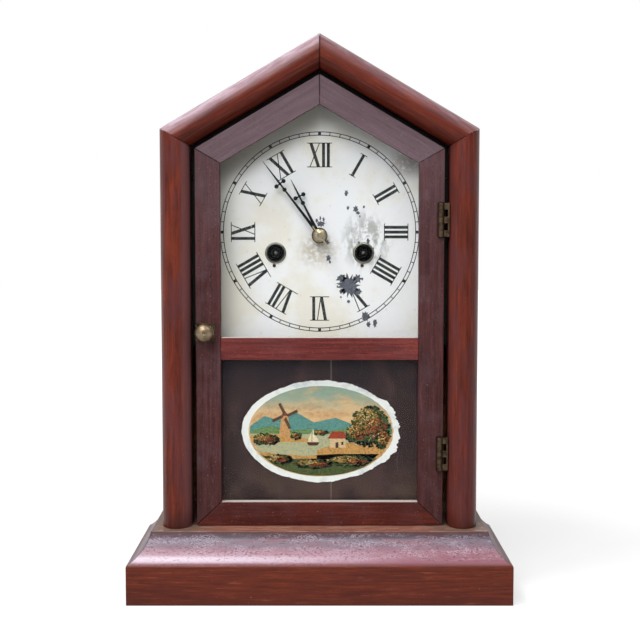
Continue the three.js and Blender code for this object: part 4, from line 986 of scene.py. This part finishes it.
# %% Collet
COLLET = [
    [1.7, -12.42], [4.4, -12.42], [4.45, -12.6], [4.4, -12.85], [4.1, -13.25], [3.5, -13.7],
    [2.9, -14.0], [2.3, -14.2], [1.7, -14.28], [1.7, -12.42],
]
collet = turned("collet", COLLET, HANDS, turned_brass, "minute")
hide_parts("hand_collet")

# %% [markdown]
# ## The painted lower glass
#
# The lower pane is a tablet: a printed transfer was laid on the back of the glass and the rest was
# painted brown-black. Everything is behind the pane, so the layers follow each other away from it:
# first the picture's small shapes, then its sky, the white border with its torn edge, and last the
# ground, which has bubbled, faded and been scratched.

# %% Ground and border
PICTURE = (0.9, 101.8)
PICTURE_SIZE = (46.0, 29.0)
LAYER = 0.02
GROUND_Y = -17.0
SCRATCH_X = 7.3


def torn_oval(wide, tall, tear, seed, count=240):
    """An oval with a slow wander and small tears, which are larger at its right."""
    dice = random.Random(seed)
    waves = [(dice.randint(3, 11), dice.uniform(0, 6.3), dice.uniform(0.2, 0.5)) for _ in range(5)]
    outline = []
    nick = 0.0
    for i in range(count):
        angle = 2 * math.pi * i / count
        nick = 0.55 * nick + 0.45 * dice.uniform(-1, 1)
        wander = sum(size * math.sin(turns * angle + start) for turns, start, size in waves)
        reach = 1 + tear * (0.45 * wander + nick * (1.5 + math.cos(angle)))
        x, z = wide * reach * math.cos(angle), tall * reach * math.sin(angle)
        outline.append([PICTURE[0] + x, PICTURE[1] + z])
    return outline


ground = Finish("tablet_ground_paint", "#332626", IOR=1.5, Specular_IOR_Level=0.1, Roughness=0.4)
# The ground is darker towards the top and lighter and browner towards the bottom.
ground.lay("#1d1822", 0.9, (ground.z, 118, 146), (ground.mottle(34, 2), 0.36, 0.56))
ground.lay("#524037", 0.85, (ground.z, 92, 58), (ground.mottle(26, 5), 0.36, 0.6))
ground.lay("#4d3836", 0.6, (ground.mottle((14, 14, 30), 8), 0.5, 0.66))
ground.lay("#584844", 0.5, (ground.mottle((1.5, 1.5, 22), 3), 0.6, 0.72))
ground.lay("#7a6a60", 0.6, (ground.mottle(1.4, 31), 0.7, 0.76))
to_scratch = add(ground.tree, "ShaderNodeMath", [ground.x, SCRATCH_X], operation="SUBTRACT")
scratch = add(ground.tree, "ShaderNodeMath", [to_scratch], operation="ABSOLUTE")
ground.lay("#7f716c", 0.55, (scratch, 0.5, 0.2))
ground_paint = ground.done()
border = Finish("tablet_border_paint", "#eef2ed", IOR=1.5, Specular_IOR_Level=0.2, Roughness=0.5)
border.lay("#c6d0d2", 0.7, (border.mottle(7), 0.46, 0.7))
border_paint = border.done()

backing = rectangle(-65.2, 55.1, 65.2, 151.7)
cut("tablet_ground", [backing], GROUND_Y, ground_paint, "door", 0.12)
tear = torn_oval(50.2, 32.4, 0.016, 5)
cut("tablet_border", [tear], GROUND_Y - 2 * LAYER, border_paint, "door")

# %% [markdown]
# The picture in the oval is a general lakeside of our own: a sky from teal to peach, far hills, a
# lake with a sail, a windmill on the left bank, and a cottage, birches and autumn trees on the
# right. It keeps the colours and the scale of such old transfers. The sky is one sheet with soft
# noise, and printed dots roughen every colour.

# %% Sky


def print_color(name, light, dark, size=1.1):
    """A flat printed colour with uneven dots of a darker one."""
    color = Finish(name, light, IOR=1.5, Specular_IOR_Level=0.2, Roughness=0.5)
    color.lay(dark, 0.85, (color.mottle(size, 2), 0.42, 0.66))
    return color


def printed(name, outlines, color, layer):
    """Shapes of one colour, a number of layers in front of the tablet's ground."""
    y = GROUND_Y - layer * LAYER
    cut(f"picture_{name}", outlines, y, color.done(), "door")


def print_all(table, first, step=1.0, size=1.1):
    """Prints a table's shapes in their light and dark colours, each name in front of the last."""
    for number, (name, (light, dark, outlines)) in enumerate(table.items()):
        printed(name, outlines, print_color(name, light, dark, size), first + step * number)


def spot(u, v):
    """A place in the picture, from -1 to 1 across and up."""
    return [PICTURE[0] + u * PICTURE_SIZE[0], PICTURE[1] + v * PICTURE_SIZE[1]]


def inside(u, v, rim=0.985):
    """The nearest place to (u, v) that is inside the picture's oval."""
    far = math.hypot(u, v)
    return (u, v) if far <= rim else (u * rim / far, v * rim / far)


def land(levels, bottom):
    """A stretch of land under a skyline of (u, v) points, down to a level."""
    skyline = []
    for (u0, v0), (u1, v1) in zip(levels, levels[1:]):
        skyline += [(u0 + (u1 - u0) * i / 8, v0 + (v1 - v0) * i / 8) for i in range(8)]
    skyline.append(levels[-1])
    left, right = levels[0][0], levels[-1][0]
    shore = [(right + (left - right) * i / 40, bottom) for i in range(41)]
    return [spot(*inside(u, v)) for u, v in skyline + shore]


sky = print_color("picture_sky", "#d3ab7a", "#bb9163", 2.2)
sky.lay("#e2c08c", 0.7, (sky.mottle((16, 16, 5), 4), 0.42, 0.6))
teal_part = (sky.z, PICTURE[1] + 9, PICTURE[1] + 24)
sky.lay("#7fa596", 0.85, teal_part, (sky.mottle((20, 20, 7), 9), 0.2, 0.55))
sky.lay("#a88a5c", 0.6, (sky.mottle(0.9, 14), 0.58, 0.7))
printed("sky", [torn_oval(*PICTURE_SIZE, 0.004, 9)], sky, 3)

# %% Hills, lake and banks
FAR_SKYLINE = [
    (-1, 0.1), (-0.78, 0.34), (-0.6, 0.26), (-0.36, 0.44), (-0.1, 0.2), (0.2, 0.3), (0.5, 0.12),
    (1, 0.2),
]
NEAR_SKYLINE = [
    (-1, 0.0), (-0.7, 0.12), (-0.4, 0.02), (-0.2, 0.05), (0.1, 0.0), (0.4, 0.08), (1, 0.05),
]
LEFT_BANK = [(-1, -0.1), (-0.72, -0.04), (-0.45, -0.1), (-0.2, -0.16), (-0.12, -0.2)]
RIGHT_BANK = [(-0.06, -0.42), (0.16, -0.3), (0.4, -0.26), (0.7, -0.16), (1, -0.1)]
NEAR_BANK = [(-0.95, -0.42), (-0.6, -0.5), (-0.2, -0.54), (0.2, -0.5), (0.8, -0.5)]
MEADOW = [(-0.9, -0.5), (-0.55, -0.62), (-0.2, -0.6), (0.1, -0.74), (0.5, -0.62), (0.78, -0.6)]

banks = [land(LEFT_BANK, -0.24), land(RIGHT_BANK, -0.62), land(NEAR_BANK, -0.98)]
LAND = {
    "far_hills": ("#5f9288", "#3f746d", [land(FAR_SKYLINE, -0.06)]),
    "near_hills": ("#6f8f55", "#3f6339", [land(NEAR_SKYLINE, -0.08)]),
    "lake": ("#b9b183", "#7d9c8c", [land([(-1, -0.05), (0, -0.06), (1, -0.05)], -0.6)]),
    "banks": ("#c99b58", "#93652f", banks),
    "foreground": ("#4e5a2b", "#252f1c", [land(MEADOW, -0.98)]),
}
print_all(LAND, 4)

# %% [markdown]
# Foliage was printed as clouds of small dabs: dark ones first, then green, gold and orange on the
# side of the light. A loop throws the dabs into ovals with a seeded dice and keeps those that fall
# inside the picture.

# %% Dabs of foliage
TREES = [
    (0.70, 0.10, 0.30, 0.46, 300), (0.50, -0.06, 0.16, 0.22, 90), (0.88, -0.2, 0.12, 0.24, 70),
    (-0.76, -0.18, 0.18, 0.13, 90), (-0.34, -0.1, 0.07, 0.07, 22), (-0.6, -0.62, 0.2, 0.1, 90),
    (-0.1, -0.72, 0.26, 0.1, 110), (0.42, -0.66, 0.3, 0.12, 130), (0.0, -0.03, 0.1, 0.05, 22),
]
DABS = {
    "dark": ("#2b3b26", "#161f16", 1.6, (0.0, 0.0), 0.85, 1.0),
    "green": ("#566b3a", "#35492a", 1.2, (-0.03, 0.06), 0.62, 0.85),
    "gold": ("#b98a3c", "#7d5a26", 0.5, (-0.06, 0.14), 0.5, 0.6),
    "orange": ("#9a4e2e", "#6b321f", 0.45, (0.06, -0.04), 0.5, 0.5),
    "light": ("#d9c48a", "#b0924f", 0.2, (-0.09, 0.2), 0.36, 0.5),
}


def dabs(share, lean, size, spread, seed):
    """Rough dabs, a share of each tree's count, leaning to one side and spread over the tree."""
    dice = random.Random(seed)
    outlines = []
    for u, v, wide, tall, count in TREES:
        for _ in range(int(count * share)):
            angle, far = dice.uniform(0, 6.28), math.sqrt(dice.random())
            at_u = u + wide * (4 * lean[0] + spread * far * math.cos(angle))
            at_v = v + tall * (2 * lean[1] + spread * far * math.sin(angle))
            if math.hypot(at_u, at_v) < 0.95:
                x, z = spot(at_u, at_v)
                reach = 1.5 * size * dice.uniform(0.6, 1.3)
                outlines.append(ragged(x, z, 2 * reach, 1.5 * reach, 3, dice.random()))
    return outlines


foliage = {}
for number, (name, (light, dark, *habit)) in enumerate(DABS.items()):
    foliage[f"{name}_dabs"] = (light, dark, dabs(*habit, 40 + number))
print_all(foliage, 14)

# %% [markdown]
# The windmill, the boat, the cottage and the birches are flat shapes as well, cut in front of the
# land and behind the foliage that stands over them.

# %% Windmill, boat, cottage and birches
MILL = (-0.5, 0.34)


def sail(angle):
    """One sail of the mill, turned about its hub. The picture is wider than it is high."""
    c, s = math.cos(angle), math.sin(angle)
    corners = ((-0.015, 0.03), (0.05, 0.06), (0.05, 0.3), (-0.015, 0.3))
    return [spot(MILL[0] + 0.63 * (x * c - z * s), MILL[1] + x * s + z * c) for x, z in corners]


def shape(*corners):
    return [spot(u, v) for u, v in corners]


def tapered(left, right, low, head_left, head_right, high):
    """A shape with a level foot and a level head."""
    return shape((left, low), (right, low), (head_right, high), (head_left, high))


main_sail = shape((-0.12, -0.23), (-0.03, -0.23), (-0.115, 0.06))
jib = shape((-0.135, -0.23), (-0.185, -0.23), (-0.13, 0.01))
cottage_door = tapered(0.2, 0.24, -0.36, 0.2, 0.24, -0.24)
window = tapered(0.28, 0.31, -0.3, 0.28, 0.31, -0.23)
trunks = [
    tapered(u, u + 0.022, -0.3, u + lean, u + 0.012 + lean, top)
    for u, top, lean in ((0.47, 0.4, 0.03), (0.55, 0.5, -0.02), (0.62, 0.34, 0.05))
]
BUILT = {
    "mill_tower": ("#cf9f66", "#94633a", [tapered(-0.58, -0.42, -0.1, -0.545, -0.455, 0.34)]),
    "mill_cap": ("#7d4a34", "#553022", [shape((-0.555, 0.34), (-0.445, 0.34), (-0.5, 0.46))]),
    "mill_sails": ("#5d4230", "#36261b", [sail(0.45 + math.pi / 2 * i) for i in range(4)]),
    "cottage_walls": ("#dcc294", "#ad8a58", [tapered(0.12, 0.34, -0.36, 0.12, 0.34, -0.16)]),
    "cottage_roof": ("#a2432a", "#6f2a1b", [tapered(0.09, 0.37, -0.16, 0.15, 0.31, 0.0)]),
    "cottage_openings": ("#3f2d20", "#2a1e17", [cottage_door, window]),
    "boat": ("#4f3525", "#302019", [tapered(-0.17, -0.05, -0.31, -0.2, -0.02, -0.24)]),
    "boat_sails": ("#ecdfbd", "#cbb484", [main_sail, jib]),
    "birches": ("#ded2b4", "#6f6551", trunks),
}
print_all(BUILT, 9, 0.5, 0.8)

# %% [markdown]
# ## Pendulum, springs and gong
#
# Behind the tablet hang the pendulum and the gong, and the mainsprings are in the movement. The
# bob is a spun brass disc with a raised ring. The springs and the gong are single strips wound
# outwards, so a rounded section is carried round a spiral, turn by turn.

# %% Bob
BOB = [
    [0.0, -5.4], [2.0, -5.38], [4.5, -5.15], [7.0, -4.7], [9.0, -4.2], [10.2, -3.8], [10.6, -3.85],
    [11.4, -3.75], [12.3, -3.35], [12.9, -2.9], [13.0, -2.5], [12.9, -2.1], [12.0, -1.6],
    [10.0, -1.0], [7.0, -0.3], [4.0, 0.1], [0.0, 0.4],
]
BOB_CENTRE = (-9.0, 145.35)
bob = turned("spun_bob", BOB, BOB_CENTRE, rolled_brass, "pendulum")
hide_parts("pendulum_bob")

# %% Springs and gong


def wound(node, centre, radii, turns, strip, front, back, flip):
    """A strip wound outwards between two radii, on edge between its front and its back."""
    half, soft = strip / 2, strip * 0.25
    section = [
        [-half, front + soft], [soft - half, front], [half - soft, front], [half, front + soft],
        [half, back - soft], [half - soft, back], [soft - half, back], [-half, back - soft],
    ]
    steps = 60 * turns
    rings = []
    for i in range(steps + 1):
        radius = radii[0] + (radii[1] - radii[0]) * i / steps
        c, s = flip * math.cos(math.pi * i / 30), flip * math.sin(math.pi * i / 30)
        ring = [(radius + d, y) for d, y in section]
        rings.append([[centre[0] + out * c, y, centre[1] + out * s] for out, y in ring])
    made = lofted(f"wound_{node}", rings, blued_steel, "case")
    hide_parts(node)


GONG_CENTRE = (-11.4, 95.0)
SPRING = {"radii": (3.75, 20.0), "turns": 6, "strip": 0.9, "front": 19.0, "back": 31.0}
GONG = {"radii": (6.0, 30.0), "turns": 5, "strip": 1.4, "front": 32.0, "back": 35.2}
wound("time_mainspring", HOLES["right"], **SPRING, flip=1)
wound("strike_mainspring", HOLES["left"], **SPRING, flip=1)
wound("gong_coil", GONG_CENTRE, **GONG, flip=-1)

# %% [markdown]
# ## The back
#
# The back board is nailed to the case. Cut nails have small square heads, which stand a little
# proud. They could be painted on the board, but a raised square catches the light as iron does.

# %% Nails
BACK_Y = 54.0
HALF_HEAD = 1.3
heads = [
    rectangle(x - HALF_HEAD, z - HALF_HEAD, x + HALF_HEAD, z + HALF_HEAD)
    for beside, z in ((84, 60), (84, 165), (84, 262), (40, 308))
    for x in (-beside, beside)
]
cut("cut_nails", heads, BACK_Y - 0.5, browned_steel, "case", 0.62)

# %% [markdown]
# ## Light
#
# The photograph was taken outdoors: one bright part of the sky, up and to the left, shows as a
# sheen on the left gable moulding and on the nose of the base, and the rest is soft light from the
# front. A small lamp does the first, and larger ones in front and at the right do the second. The
# world is white to the camera, to mirrors and to glass, and lights the rest more weakly, so that a
# colour renders as it was picked.

# %% Lamps


def lamp(name, place, target, size, power):
    data = bpy.data.lights.new(name, "AREA")
    data.size = size
    data.energy = power
    light = bpy.data.objects.new(name, data)
    light.location = place
    light.rotation_euler = (Vector(target) - Vector(place)).to_track_quat("-Z", "Y").to_euler()
    scene.collection.objects.link(light)
    print(name, "at", place, power, "W")


MIDDLE = (0, 0, 0.2)
lamp("bright_sky", (-0.42, -0.34, 1.15), MIDDLE, 0.36, 8)
lamp("soft_front", (-0.35, -1.35, 1.15), MIDDLE, 0.9, 19.5)
lamp("right_sky", (0.6, -0.6, 1.25), MIDDLE, 0.7, 4)

# %% [markdown]
# The floor shines by itself where it is seen, so that it is as white as the backdrop. Close to the
# clock it shines less, and there the clock's shadow shows on it.

# %% World


def seen_directly(tree):
    """1 for what the camera, a mirror or a pane sees, and 0 for the light on the clock."""
    path = add(tree, "ShaderNodeLightPath").node.outputs
    reflected = [path["Is Glossy Ray"], path["Is Transmission Ray"]]
    mirrored = add(tree, "ShaderNodeMath", reflected, operation="MAXIMUM")
    return add(tree, "ShaderNodeMath", [path["Is Camera Ray"], mirrored], operation="MAXIMUM")


def shining(tree, weak, strong):
    """A weak light for the clock and a strong one where it is seen."""
    strength = {"Value": seen_directly(tree), "To Min": weak, "To Max": strong}
    return add(tree, "ShaderNodeMapRange", strength)


WORLD_LIGHT = 0.33

world = bpy.data.worlds.new("surroundings")
world.use_nodes = True
scene.world = world
backdrop = world.node_tree.nodes["Background"]
backdrop.inputs["Color"].default_value = (1, 1, 1, 1)
world.node_tree.links.new(shining(world.node_tree, WORLD_LIGHT, 1.0), backdrop.inputs["Strength"])
print("world light on the clock:", WORLD_LIGHT)

# %% Floor
SHADOWED = 250
OUT_OF_SHADOW = 900
SIDE = 4

pale = Finish("pale_floor", "#b4b4b4", Roughness=0.9, Emission_Color=(1, 1, 1, 1))
pale.lay("#bababa", 0.5, (pale.mottle(90), 0.4, 0.6))
length = add(pale.tree, "ShaderNodeVectorMath", [pale.place], operation="LENGTH")
away = length.node.outputs["Value"]
reach = {"Value": away, "From Min": SHADOWED, "From Max": OUT_OF_SHADOW, "To Min": 0.55}
shine = add(pale.tree, "ShaderNodeMapRange", reach)
pale.feed("Emission Strength", shining(pale.tree, 0.0, shine))
flat = bpy.data.meshes.new("floor")
corners = [(x, z, 0) for x, z in rectangle(-SIDE, -SIDE, SIDE, SIDE)]
flat.from_pydata(corners, [], [(0, 1, 2, 3)])
flat.materials.append(pale.done())
floor = bpy.data.objects.new("floor", flat)
floor.location.z = -0.2 * MM
scene.collection.objects.link(floor)
print("floor at", floor.location.z, "m")
